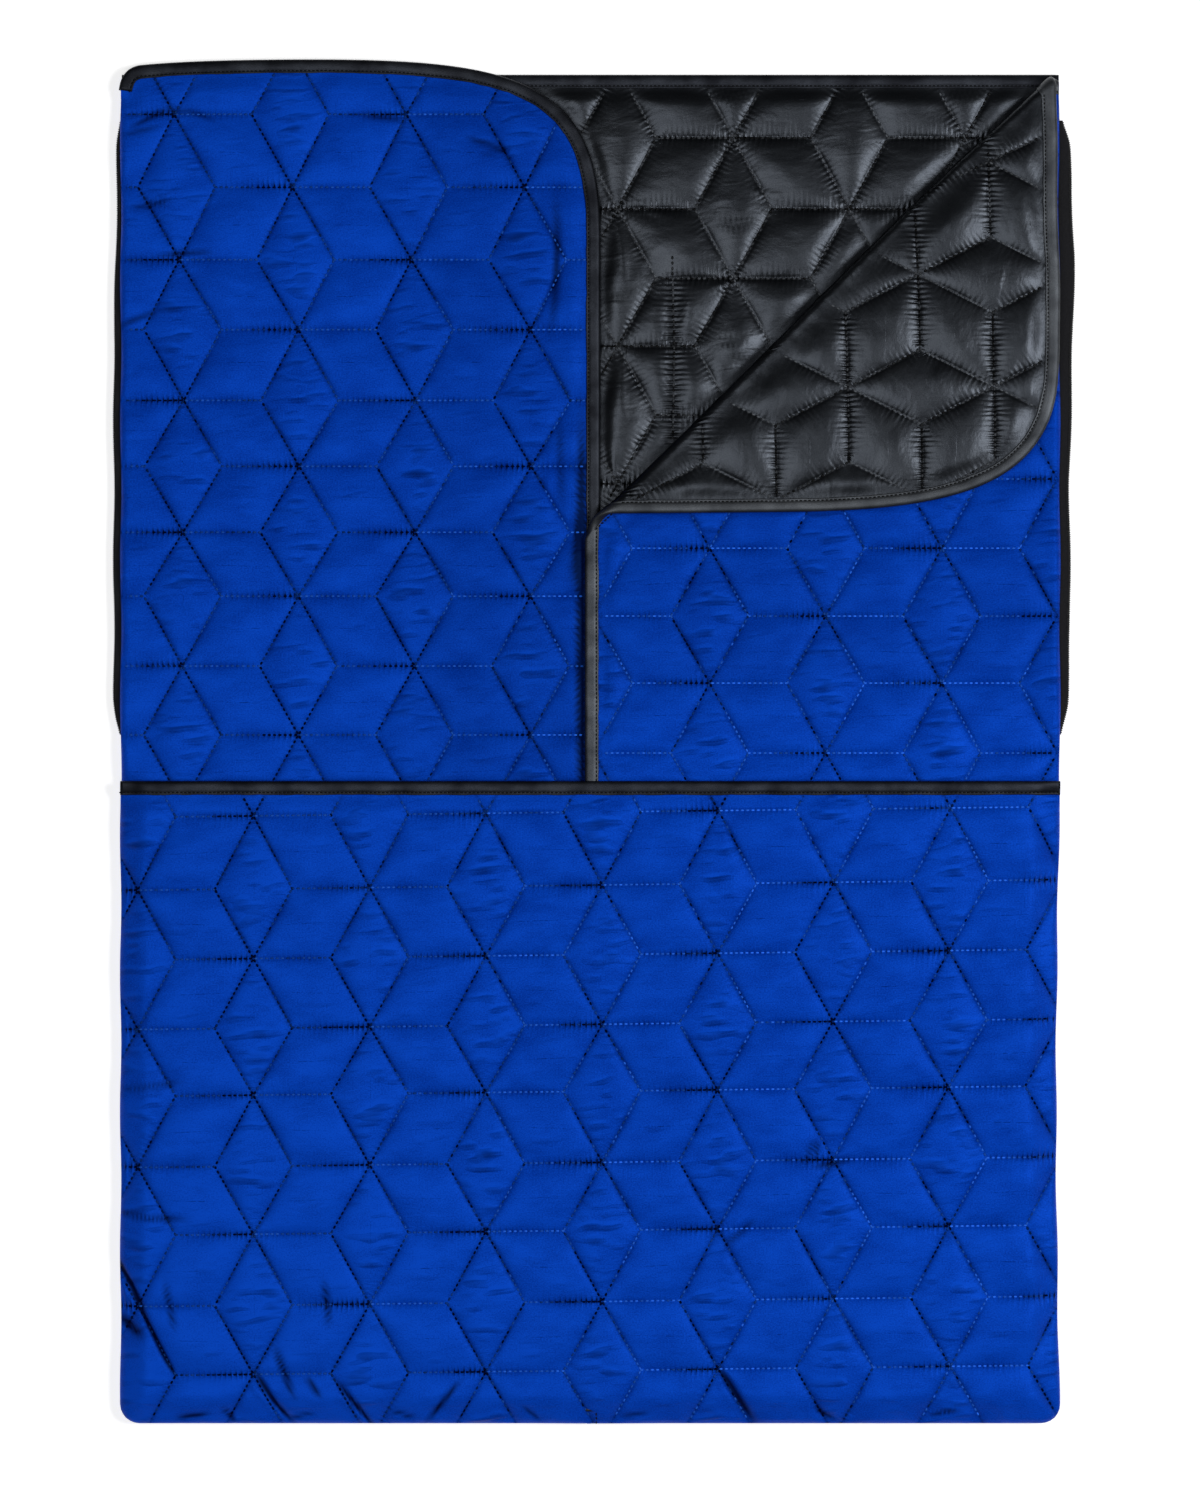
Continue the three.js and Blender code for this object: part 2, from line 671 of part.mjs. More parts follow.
const blanket = new THREE.Group();
blanket.add(
  meshOf('back_panel', backPanel(), 'shell'),
  meshOf('back_lining', backLining(), 'lining'),
  meshOf('left_front_panel', leftFrontPanel(), 'shell'),
  meshOf('right_front_panel', rightFrontPanel(), 'shell'),
  meshOf('right_front_lining', rightFrontLining(), 'lining'),
  meshOf('foot_panel', footPanel(), 'shell'),
  meshOf('back_binding', binding(headEdge(BACK_LENGTH), HEM, BACK_TOP, wholePieces, placeBack), 'binding'),
  meshOf('left_front_binding', binding(leftBoundEdge, 0, STITCHED, wholePieces, placeLeft), 'binding'),
  meshOf(
    'right_front_binding',
    binding(rightBoundChain, -CLOTH, RIGHT_TOP, rolledPieces, placeRight),
    'binding',
  ),
  meshOf('foot_binding', binding(headEdge(FOOT_LENGTH), 0, STITCHED, ridgePieces, placeFoot), 'binding'),
  meshOf('left_zip_back_tape', zipTape(LEFT_ZIP, -1, backTapeZ), 'tape'),
  meshOf('left_zip_front_tape', zipTape(LEFT_ZIP, -1, frontTapeZ), 'tape'),
  meshOf('left_zip_coil', zipCoil(LEFT_ZIP, -1, coilZ), 'coil'),
  meshOf('right_zip_back_tape', zipTape(RIGHT_ZIP, 1, backTapeZ), 'tape'),
  meshOf('right_zip_front_tape', zipTape(RIGHT_ZIP, 1, frontTapeZ), 'tape'),
  meshOf('right_zip_coil', zipCoil(RIGHT_ZIP, 1, coilZ), 'coil'),
);

// The origin is under the middle of the blanket, on the surface that it lies on.
const extent = new THREE.Box3().setFromObject(blanket);
const middle = extent.getCenter(new THREE.Vector3());
blanket.position.set(-middle.x, -middle.y, -extent.min.z);

export default blanket;
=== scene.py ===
"""A quilted camping blanket that opens down the front. It lies flat with its side zips closed, and the
upper corner of its right front is turned back to show the lining."""

from collections import namedtuple
from functools import partial, reduce
import bmesh
import bpy
import numpy as np
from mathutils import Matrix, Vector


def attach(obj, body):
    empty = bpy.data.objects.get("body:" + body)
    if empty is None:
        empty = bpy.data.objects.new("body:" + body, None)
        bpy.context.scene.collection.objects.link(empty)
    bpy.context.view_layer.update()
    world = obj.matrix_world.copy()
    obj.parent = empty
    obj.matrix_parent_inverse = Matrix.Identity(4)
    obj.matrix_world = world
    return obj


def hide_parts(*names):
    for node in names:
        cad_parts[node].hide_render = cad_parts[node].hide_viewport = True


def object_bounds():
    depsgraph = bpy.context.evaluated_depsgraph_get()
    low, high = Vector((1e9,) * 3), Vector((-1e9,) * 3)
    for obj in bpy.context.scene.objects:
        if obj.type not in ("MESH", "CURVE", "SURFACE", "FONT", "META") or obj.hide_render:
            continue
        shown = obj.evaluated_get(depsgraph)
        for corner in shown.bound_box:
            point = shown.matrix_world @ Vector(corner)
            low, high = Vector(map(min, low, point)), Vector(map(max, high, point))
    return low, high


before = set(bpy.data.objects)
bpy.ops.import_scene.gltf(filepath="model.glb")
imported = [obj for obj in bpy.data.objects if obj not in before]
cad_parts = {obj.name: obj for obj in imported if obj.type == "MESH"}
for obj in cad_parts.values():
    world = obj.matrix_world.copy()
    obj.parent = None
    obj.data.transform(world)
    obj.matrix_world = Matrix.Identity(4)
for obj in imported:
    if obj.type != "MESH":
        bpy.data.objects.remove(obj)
cad_low, cad_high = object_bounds()


# Back, outer cloth.
# The blanket lies on this full-length piece of royal blue polyester satin. It is quilted to a thin
# wadding in rows of six-spoked stars, with its smooth side down.

MM = 0.001
BODY_WIDTH = 640
HALF_WIDTH = BODY_WIDTH / 2
BACK_LENGTH = 918
FOOT_LENGTH = 436
HEM_CORNER_RADIUS = 13
MIDDLE_X = 2.08
MIDDLE_Y = -cad_low.y / MM
SIDE_DRAWN_IN = 2.6
SCALLOP = 0.45
SCALLOP_SHARPNESS = 5

STAR_SPACING = 158
ROW_SPACING = 47.1
SLANT_SPACING = 46.0
SLANT = np.arctan2(ROW_SPACING, STAR_SPACING / 6)
SEAM_TURNS = (0, SLANT, np.pi - SLANT)
SPOKES = np.array([[1 / 3, 0], [1 / 6, 1], [-1 / 6, 1], [-1 / 3, 0], [-1 / 6, -1], [1 / 6, -1]])
ROWS_BEYOND = 24
FAR = 1000.0
SWELLS = 64
FIRST_SWELL = 500
WELDS_A_MM = 50
RIM_ANGLE = np.radians(70)

BACK_STEPS = 8
BACK_SHELL = 3.2


def smooth(value, start, end):
    """From 0 at the start to 1 at the end, with soft ends."""
    share = np.clip((value - start) / (end - start), 0, 1)
    return share * share * (3 - 2 * share)


def bezier(controls, parts):
    """Points along a curve with three or four control points."""
    share = np.linspace(0, 1, parts + 1)[:, None]
    points = [np.array(control, float) for control in controls]
    while len(points) > 1:
        points = [(1 - share) * a + share * b for a, b in zip(points, points[1:])]
    return points[0]


def hem_corner(side):
    """A rounded corner at the left (-1) or right (1) end of the foot hem, counter-clockwise."""
    turn = np.linspace(np.pi, 1.5 * np.pi, 7) if side < 0 else np.linspace(-0.5 * np.pi, 0, 7)
    centre = np.array([side * (HALF_WIDTH - HEM_CORNER_RADIUS), HEM_CORNER_RADIUS])
    return centre + HEM_CORNER_RADIUS * np.stack([np.cos(turn), np.sin(turn)], axis=1)


def full_width(length):
    """The outline of a panel that runs from side to side. Its last two points are its upper edge."""
    upper_edge = [[HALF_WIDTH, length], [-HALF_WIDTH, length]]
    return np.concatenate([hem_corner(-1), hem_corner(1), upper_edge])


def on_table(x, y, z):
    """Places flat millimetres on the table, in metres. The side edges scallop with the quilting rows."""
    share = x / HALF_WIDTH
    beside_foot = np.sin(np.pi * np.clip(y / FOOT_LENGTH, 0, 1))
    drawn = np.where(share > 0, SIDE_DRAWN_IN * share * beside_foot, 0)
    scallop = SCALLOP * share**SCALLOP_SHARPNESS * np.sin(np.pi * y / ROW_SPACING)
    return np.stack([x - drawn + scallop - MIDDLE_X, y - MIDDLE_Y, z + 0 * x], axis=-1) * MM


def distance_to(chain, x, y):
    """How far points are from a chain of straight stretches."""
    nearest = np.full(np.shape(x), FAR)
    for (ax, ay), (bx, by) in zip(chain, chain[1:]):
        along = ((x - ax) * (bx - ax) + (y - ay) * (by - ay)) / ((bx - ax) ** 2 + (by - ay) ** 2)
        along = np.clip(along, 0, 1)
        nearest = np.minimum(nearest, np.hypot(x - ax - along * (bx - ax), y - ay - along * (by - ay)))
    return nearest


def within(outline, x, y):
    """If points lie inside an outline."""
    inside = np.zeros(np.shape(x), bool)
    for (ax, ay), (bx, by) in zip(outline, np.roll(outline, -1, axis=0)):
        crossing = ax + (y - ay) * (bx - ax) / (by - ay if by != ay else 1)
        inside = inside ^ (((ay > y) != (by > y)) & (x < crossing))
    return inside


def uneven(x, y, across, along, seed):
    """Smooth chance swells between -1 and 1, of about the given size in each direction."""
    swells = np.random.default_rng(seed).uniform(-1, 1, (SWELLS, SWELLS))
    u, v = x / across + FIRST_SWELL, y / along + FIRST_SWELL
    i, j = np.floor(u).astype(int), np.floor(v).astype(int)
    f, g = smooth(u - i, 0, 1), smooth(v - j, 0, 1)
    i, j, next_i, next_j = i % SWELLS, j % SWELLS, (i + 1) % SWELLS, (j + 1) % SWELLS
    low = (1 - f) * swells[i, j] + f * swells[next_i, j]
    high = (1 - f) * swells[i, next_j] + f * swells[next_i, next_j]
    return (1 - g) * low + g * high


def chance(a, b, seed):
    """An even chance number from 0 to 1 for each cell."""
    mixed = np.sin(a * 12.9898 + b * 78.233 + seed * 37.719) * 43758.5453
    return mixed - np.floor(mixed)


class Quilting:
    """Six-spoked stars in rows, every second row shifted by half a star, in a panel's flat millimetres."""

    def __init__(self, star_x, rows, lean=0.0, sways=None):
        beyond = ROW_SPACING * np.arange(1, ROWS_BEYOND + 1)
        self.heights = np.concatenate([rows[0] - beyond[::-1], rows, rows[-1] + beyond])
        self.numbers = np.arange(len(self.heights)) - ROWS_BEYOND
        sways = np.zeros(len(rows)) if sways is None else np.array(sways)
        self.sways = np.pad(sways, ROWS_BEYOND, mode="edge")
        self.star_x = star_x
        self.lean = lean

    def point(self, across, row):
        x = self.star_x + STAR_SPACING * across + np.interp(row, self.numbers, self.sways)
        return x, np.interp(row, self.numbers, self.heights) + self.lean * x

    def lattice(self, x, y):
        row = np.interp(y - self.lean * x, self.heights, self.numbers)
        return (x - self.star_x - np.interp(row, self.numbers, self.sways)) / STAR_SPACING, row

    def past_star(self, x, y):
        """How far points lie past the nearest star, along its row in star spacings and up in rows."""
        across, row = self.lattice(x, y)
        nearest = np.round(row)
        return (across - (nearest % 2) / 2 + 0.5) % 1 - 0.5, row - nearest

    def cells(self, x, y):
        """Each point's crown, from 0 at the stitches to 1, its distances from the level, rising and
        falling stitch lines, and its cell's two numbers, its middle and if it stands upright."""
        across, row = self.lattice(x, y)
        slanted = 3 * across - row / 2
        i, j = np.floor(slanted), np.floor(row)
        f, g = slanted - i, row - j
        upper = f + g > 1
        weights = np.where(upper, [f + g - 1, 1 - f, 1 - g], [1 - f - g, f, g])
        corner_i = np.where(upper, [i + 1, i, i + 1], [i, i + 1, i])
        corner_j = np.where(upper, [j + 1, j + 1, j], [j, j, j + 1])
        turn = (i - j) % 3
        star = np.where(turn == 0, 0, np.where(upper, turn, 3 - turn))
        is_star = np.arange(3)[:, None] == star
        crown = np.where(is_star, 1, 4 * weights * (1 - weights)).prod(0).clip(0)
        spacings = np.array([[SLANT_SPACING], [SLANT_SPACING], [ROW_SPACING]])
        lines = np.where(is_star, FAR, weights * spacings)
        mid_i = np.where(is_star, 0, corner_i).sum(0) / 2
        mid_j = np.where(is_star, 0, corner_j).sum(0) / 2
        middle = self.point((mid_i + mid_j / 2) / 3, mid_j)
        return crown, lines[2], lines[1], lines[0], mid_i, mid_j, middle, star == 2


def squares_of(numbers):
    """The faces between the numbered points of a grid."""
    corners = [numbers[:-1, :-1], numbers[1:, :-1], numbers[1:, 1:], numbers[:-1, 1:]]
    return np.stack(corners, axis=-1).reshape(-1, 4)


def meshed(name, points, faces):
    mesh = bpy.data.meshes.new(name)
    mesh.from_pydata(points.reshape(-1, 3).tolist(), [], faces)
    return mesh


def cut_cloth(quilting, outline, steps, slits):
    """A flat cloth meshed along its stitch lines, trimmed to a convex outline that runs counter-clockwise,
    with its rim turned down. A slit is a line, as a point and a direction, that gets a row of edges."""
    share = np.arange(steps + 1) / steps
    share = 0.5 * share + 0.25 * (1 - np.cos(np.pi * share))
    s, t = np.meshgrid(share, share, indexing="ij")
    low, high = outline.min(0), outline.max(0)
    corners = np.array([quilting.lattice(x, y) for x in (low[0], high[0]) for y in (low[1], high[1])])
    first_column, first_row = np.floor(corners.min(0)).astype(int) - 2
    last_column, last_row = np.ceil(corners.max(0)).astype(int) + 2
    grid = np.arange((steps + 1) ** 2).reshape(steps + 1, steps + 1)
    squares = squares_of(grid)
    points, faces = [], []
    for row in range(first_row, last_row):
        for column in range(first_column, last_column):
            for first, second in zip(SPOKES[:3], SPOKES[1:4]):
                across = column + (row % 2) / 2 + s * first[0] + t * second[0]
                x, y = quilting.point(across, row + s * first[1] + t * second[1])
                if x.max() < low[0] or x.min() > high[0] or y.max() < low[1] or y.min() > high[1]:
                    continue
                faces.append(squares + len(points) * grid.size)
                points.append(np.stack([x, y], axis=-1).reshape(-1, 2))
    points, faces = np.concatenate(points), np.concatenate(faces)
    welded = np.round(points * WELDS_A_MM)
    _, kept, numbers = np.unique(welded, axis=0, return_index=True, return_inverse=True)
    points = np.column_stack([points[kept], np.zeros(len(kept))])
    mesh = meshed("cut", points, numbers.reshape(-1)[faces].tolist())
    cloth = bmesh.new()
    cloth.from_mesh(mesh)
    bpy.data.meshes.remove(mesh)

    def cut(point, normal, clear):
        everything = cloth.verts[:] + cloth.edges[:] + cloth.faces[:]
        place, plane = (point[0], point[1], 0), (normal[0], normal[1], 0)
        bmesh.ops.bisect_plane(
            cloth, geom=everything, dist=1e-4, plane_co=place, plane_no=plane, clear_outer=clear
        )

    for a, b in zip(outline, np.roll(outline, -1, axis=0)):
        cut(a, (b[1] - a[1], a[0] - b[0]), True)
    for point, direction in slits:
        cut(point, (direction[1], -direction[0]), False)
    turned = cloth.verts.layers.int.new("turned")
    rim = [edge for edge in cloth.edges if edge.is_boundary]
    for part in bmesh.ops.extrude_edge_only(cloth, edges=rim)["geom"]:
        if isinstance(part, bmesh.types.BMVert):
            part[turned] = 1
    return cloth


def written(mesh, name, values):
    """Gives each point of a mesh a number, or a row of three, under a name."""
    kind, field = ("FLOAT", "value") if values.ndim == 1 else ("FLOAT_VECTOR", "vector")
    mesh.attributes.new(name, kind, "POINT").data.foreach_set(field, values.ravel())


def piece_of(name, mesh, material):
    """A smooth piece of one material, that rides on the blanket's one body."""
    mesh.shade_smooth()
    mesh.materials.append(material)
    piece = bpy.data.objects.new(name, mesh)
    bpy.context.scene.collection.objects.link(piece)
    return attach(piece, "root")


def laid(
    name, quilting, outline, steps, shape, place, material, slits=(), closed=True, face_down=False, **shares
):
    """Cuts a cloth, raises it to its shape, lays it in its place and closes its underside. Each of the
    shares gives from flat places a value that the cloth's material uses under that name."""
    cloth = cut_cloth(quilting, outline, steps, slits)
    if closed:
        bmesh.ops.contextual_create(cloth, geom=[edge for edge in cloth.edges if edge.is_boundary])
    if face_down:
        bmesh.ops.reverse_faces(cloth, faces=cloth.faces[:])
    mesh = bpy.data.meshes.new(name)
    cloth.to_mesh(mesh)
    cloth.free()
    count = len(mesh.vertices)
    flat = np.zeros(count * 3)
    mesh.vertices.foreach_get("co", flat)
    x, y = flat.reshape(-1, 3)[:, :2].T
    turned = np.zeros(count, int)
    mesh.attributes["turned"].data.foreach_get("value", turned)
    mesh.vertices.foreach_set("co", place(x, y, shape(x, y, turned > 0)).ravel())
    crown, level, rising, falling, i, j, _, upright = quilting.cells(x, y)
    past, up = quilting.past_star(x, y)
    gather = np.where(past < 0, 0.2 + 1.0 * smooth(past, -0.26, -0.02), 0.15) * (0.4 + chance(i, j, 5))
    written(mesh, "flat", np.stack([x, y, 0 * x], axis=1) * MM)
    written(mesh, "from_seams", np.stack([level, rising, falling], axis=1))
    written(mesh, "from_star", np.stack([STAR_SPACING * past, ROW_SPACING * up, gather], axis=1))
    written(mesh, "loose", np.where(upright, 1.0, 0.3) * crown**0.5)
    for share, found in shares.items():
        written(mesh, share, np.clip(found(x, y), 0, 1.5))
    mesh.attributes.remove(mesh.attributes["turned"])
    mesh.update()
    piece = piece_of(name, mesh, material)
    mesh.set_sharp_from_angle(angle=RIM_ANGLE)
    return piece


def new_material(name):
    """A material, its node tree and its shader."""
    material = bpy.data.materials.new(name)
    material.use_nodes = True
    return material, material.node_tree, material.node_tree.nodes["Principled BSDF"]


def set_to(node, **constants):
    """Sets constants on a node's sockets. Base_Color is the socket Base Color."""
    for name, value in constants.items():
        node.inputs[name.replace("_", " ")].default_value = value


def node_of(tree, kind, vector=None, **settings):
    """A shader node. A setting with a capital, such as Scale, is the constant on that socket."""
    node = tree.nodes.new("ShaderNode" + kind)
    for name, value in settings.items():
        if name[0].isupper():
            set_to(node, **{name: value})
        else:
            setattr(node, name, value)
    if vector:
        tree.links.new(vector, node.inputs["Vector"])
    return node


def worked_out(tree, operation, a, b=0):
    """A Math node between two sockets or numbers."""
    node = node_of(tree, "Math", operation=operation)
    for socket, value in zip(node.inputs, (a, b)):
        if isinstance(value, (int, float)):
            socket.default_value = value
        else:
            tree.links.new(value, socket)
    return node.outputs[0]


def blended(tree, factor, first, second):
    """A colour between two, each given as a colour or a socket."""
    mixed = node_of(tree, "Mix", data_type="RGBA")
    for name, colour in (("A", first), ("B", second)):
        if isinstance(colour, tuple):
            mixed.inputs[name].default_value = (*colour, 1)
        else:
            tree.links.new(colour, mixed.inputs[name])
    tree.links.new(factor, mixed.inputs["Factor"])
    return mixed.outputs["Result"]


def told(tree, name, output="Fac"):
    """What the mesh says at each place under a name."""
    return node_of(tree, "Attribute", attribute_name=name).outputs[output]


def bumped(tree, shader, height, strength=1.0, distance=1.0):
    bump = node_of(tree, "Bump", Strength=strength, Distance=distance)
    tree.links.new(height, bump.inputs["Height"])
    tree.links.new(bump.outputs[0], shader.inputs["Normal"])


STITCH_PITCH = 3.6


def quilted_cloth(name, colours, grain, gathers, wrinkle, **sheen):
    """Woven polyester satin, gathered by every stitch of its quilting. The three colours are the painted
    shade of its gathers, seams and creases, the cloth, and the cloth painted lighter as a highlight."""
    material, tree, shader = new_material(name)
    flat = told(tree, "flat", "Vector")
    seams = node_of(tree, "SeparateXYZ", told(tree, "from_seams", "Vector")).outputs
    star = node_of(tree, "SeparateXYZ", told(tree, "from_star", "Vector")).outputs
    loose_cloth = told(tree, "loose")
    kinds = ("ADD", "SUBTRACT", "MULTIPLY", "MAXIMUM", "POWER")
    plus, less, times, at_least, power = (partial(worked_out, tree, kind) for kind in kinds)

    def turned(turn, width, length, up=0.0):
        """Flat places measured in units of a width along a direction and a length across it."""
        mapping = node_of(tree, "Mapping", flat, vector_type="TEXTURE", Location=(0, up * MM, 0))
        set_to(mapping, Rotation=(0, 0, turn), Scale=(width * MM, length * MM, 1))
        return mapping.outputs[0]

    def noise(width, length, turn=0.0, detail=2.0, up=0.0):
        texture = node_of(tree, "TexNoise", turned(turn, width, length, up), Scale=1.0, Detail=detail)
        return less(texture.outputs[0], 0.5)

    def near(distance, reach):
        return worked_out(tree, "EXPONENT", worked_out(tree, "DIVIDE", distance, -reach))

    def waves(turn, waver):
        """One wave to each stitch of a seam, out of step by chance."""
        place = node_of(tree, "SeparateXYZ", turned(turn, STITCH_PITCH / (2 * np.pi), 1)).outputs[0]
        return worked_out(tree, "SINE", plus(place, times(noise(7, 20, turn, 1.0), waver)))

    tight = noise(26, 26, 0.6, 1.0)
    raised, shaded = [], []
    level_share = plus(times(star[2], gathers["beside_star"]), gathers["shares"][0])
    shares = (level_share, *gathers["shares"][1:])
    # Each seam gathers the cloth in small bumps; painted shade darkens one side of each gather, and more
    # painted shade lies in the seam's hollow.
    for distance, turn, share, hollow in zip(seams, SEAM_TURNS, shares, gathers["hollow_shades"]):
        strength = at_least(plus(times(tight, gathers["patchy"]), share), 0)
        wave = waves(turn, 6)
        close = times(near(distance, gathers["reach"]), strength)
        raised.append(times(times(wave, close), gathers["height"] * MM))
        loose = times(noise(2.6, 13, turn), near(distance, gathers["loose_reach"]))
        raised.append(times(loose, times(share, gathers["loose"] * MM)))
        dark = times(power(at_least(wave, 0), 2), near(distance, gathers["reach"] / 2))
        shaded.append(times(times(dark, strength), gathers["dark"]))
        in_shade = plus(times(noise(40, 14, turn, 1.0), 2 * hollow), hollow)
        shaded.append(times(near(distance, 1.3), at_least(in_shade, 0)))
    # Upright gathers raise small bumps, with painted shade on one side of each.
    beside_upright = told(tree, "gathered_upright")
    wave = waves(np.pi / 2, 5)
    raised.append(times(times(wave, beside_upright), 0.3 * MM))
    shaded.append(times(at_least(times(wave, 1.2), 0), power(beside_upright, 2)))
    aside, up = (worked_out(tree, "ABSOLUTE", star[k]) for k in (0, 1))
    puckers = times(noise(7, 2.2), times(near(aside, 3.0), near(up, 8.0)))
    raised.append(times(puckers, wrinkle["corner"] * MM))
    # Soft folds raise bumps, with painted shade in them and a painted highlight just beside each.
    folds = times(noise(24, 6.2, 0.08, 0.8), loose_cloth)
    painted_highlight = times(noise(24, 6.2, 0.08, 0.8, wrinkle["above"]), loose_cloth)
    painted_highlight = at_least(less(painted_highlight, wrinkle["from"]), 0)
    raised.append(times(at_least(folds, wrinkle["from"]), wrinkle["folds"] * MM))
    shaded.append(times(at_least(less(folds, wrinkle["from"]), 0), wrinkle["dark"]))
    raised.append(times(noise(*wrinkle["size"], 0.1, 3.0), wrinkle["height"] * MM))
    raised.append(times(noise(grain["size"], grain["size"] * 0.6), grain["height"] * MM))
    bumped(tree, shader, reduce(plus, raised))

    # Random tone and grain, the folds' painted highlight and the mesh's painted light move the colour
    # towards the lightest; all the painted shade moves it towards the darkest.
    cloud = plus(times(noise(24, 15, 0.1), 1.2), times(painted_highlight, wrinkle["bright"]))
    speckle = times(noise(grain["size"], grain["size"] * 0.8, 0.0, 3.0), grain["colour"])
    tone_and_painted_light = plus(plus(plus(cloud, speckle), 0.5), told(tree, "nap"))
    shade = plus(reduce(plus, shaded), times(told(tree, "trough"), wrinkle["trough"]))
    colour = blended(tree, shade, blended(tree, tone_and_painted_light, colours[1], colours[2]), colours[0])
    tree.links.new(colour, shader.inputs["Base Color"])
    set_to(shader, **sheen)
    return material


# Blue satin. Its darkest colour is painted shade and its lightest a painted highlight; the gathers and
# wrinkle settings set how strong they are.
blue_satin = quilted_cloth(
    "blue_satin",
    colours=[(0.0001, 0.003, 0.04), (0.0002, 0.028, 0.31), (0.0018, 0.058, 0.52)],
    grain={"size": 1.1, "height": 0.02, "colour": 2.4},
    gathers={"shares": (0.15, 0.2, 0.2), "beside_star": 1.2, "patchy": 1.4, "reach": 3.4, "height": 0.24,
             "loose": 0.6, "loose_reach": 6, "hollow_shades": (0.1, 0.3, 0.45), "dark": 1.3},
    wrinkle={"height": 0.4, "size": (14, 6), "corner": 3.0, "folds": 5.0, "from": 0.03, "dark": 2.2,
             "above": 3.2, "bright": 3.5, "trough": 0.7},
    Metallic=0.15,
    Roughness=0.5,
    Specular_IOR_Level=0.12,
    Specular_Tint=(0.1, 0.4, 1.0, 1),
)

back_quilting = Quilting(176.6, 827.9 + ROW_SPACING * np.arange(-8, 2))
back_outline = full_width(BACK_LENGTH)


def back_shape(x, y, turned):
    """The underside lies flat, drawn up a little along the stitches."""
    crown, *_ = back_quilting.cells(x, y)
    return np.where(turned, BACK_SHELL, 0.5 * (1 - crown**0.25))


back = laid(
    "back_outer_cloth", back_quilting, back_outline, BACK_STEPS, back_shape, on_table, blue_satin,
    face_down=True,
)
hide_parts("back_panel")


# Back, lining.
# Glossy charcoal satin, quilted in the same stars and joined to the outer cloth round its edges. It
# shows where the corner is turned back. A short upright seam gathers it there.

GAP = 0.3
BINDING_WIDTH = 9.5
BINDING_OVERHANG = 1.6
BINDING_REACH = BINDING_WIDTH - BINDING_OVERHANG
LEFT_EDGE_X = 5.2
BACK_LINING_Z = BACK_SHELL + GAP
BACK_TOP = BACK_LINING_Z + 1
LINING_TOP = BACK_TOP + 0.35
LINING_STEPS = 18
LINING_PUFF = 3.9
PUCKER_REACH = 7
PUCKER_LENGTH = 3.2
UPRIGHT_SEAM = [(56.3, 670), (57.2, 735), (55.8, 796)]
UPRIGHT_REACH = 24
FOLD_X, FOLD_Y = 15.2, 620.2
FOLD_ANGLE = np.radians(43.88)
FOLD_RADIUS = 4.5
LENS_THICKNESS = 2.0


def past_fold(x, y):
    """How far a flat point lies beyond the line that the corner is turned back over, and how far along."""
    across = (y - FOLD_Y) * np.cos(FOLD_ANGLE) - (x - FOLD_X) * np.sin(FOLD_ANGLE)
    along = (x - FOLD_X) * np.cos(FOLD_ANGLE) + (y - FOLD_Y) * np.sin(FOLD_ANGLE)
    return across, along


def gathered(x, y, distances, seed, extra=FAR):
    """Short puckers that run out square to each stitch line, where the stitches draw the cloth in."""
    total = np.exp(-extra / PUCKER_REACH) * uneven(y, x, PUCKER_LENGTH, 9 * PUCKER_LENGTH, seed + 9)
    for number, (distance, turn) in enumerate(zip(distances, SEAM_TURNS)):
        along = x * np.cos(turn) + y * np.sin(turn)
        across = y * np.cos(turn) - x * np.sin(turn)
        ripple = uneven(along, across, PUCKER_LENGTH, 9 * PUCKER_LENGTH, seed + number)
        total = total + np.exp(-distance / PUCKER_REACH) * ripple
    return total


def filled(quilting, x, y, seed, puff, pucker, lens, power=0.62, extra=FAR):
    """How far the wadding lifts the cloth between its stitches, with its puckers and wrinkles."""
    crown, level, rising, falling, i, j, (mid_x, mid_y), upright = quilting.cells(x, y)
    fullness = 0.84 + 0.2 * chance(i, j, seed)
    pillow = puff * fullness * crown**power
    strength = lens * np.where(upright, 1.0, 0.3) * crown**0.5
    for fold in range(3):
        up = 22 * chance(i, j, seed + 10 + fold) - 11
        aside = 8 * chance(j, i, seed + 20 + fold) - 4
        bend = 0.03 * (chance(j, i, seed + 30 + fold) - 0.5)
        reach = 7 + 6 * chance(i, j, seed + 40 + fold)
        depth = 2.6 * chance(j, i, seed + 50 + fold) - 1.7
        across = y - mid_y - up - bend * (x - mid_x - aside) ** 2
        folded = np.exp(-((across / LENS_THICKNESS) ** 2) - ((x - mid_x - aside) / reach) ** 2)
        pillow = pillow + strength * depth * folded
    soft = uneven(x, y, 22, 11, seed + 5) + 0.5 * uneven(x, y, 9, 6, seed + 6)
    pillow = pillow + 0.3 * lens * soft * crown**0.4
    pillow = pillow * np.where(extra < FAR, 1 - 0.8 * np.exp(-((extra / 7) ** 2)), 1)
    return pillow + pucker * gathered(x, y, (level, rising, falling), seed, extra)


Crease = namedtuple("Crease", "x y length angle width height bend", defaults=[0])


def creased(x, y, creases):
    """Soft ridges and dips, each round its middle. A dip's height is below 0."""
    total = 0 * x
    for crease in creases:
        turn = np.radians(crease.angle)
        along = (x - crease.x) * np.cos(turn) + (y - crease.y) * np.sin(turn)
        across = (y - crease.y) * np.cos(turn) - (x - crease.x) * np.sin(turn)
        across = across - crease.bend * (2 * along / crease.length) ** 2
        ends = np.exp(-((2 * along / crease.length) ** 4))
        total = total + crease.height * ends * np.exp(-((across / crease.width) ** 2))
    return total


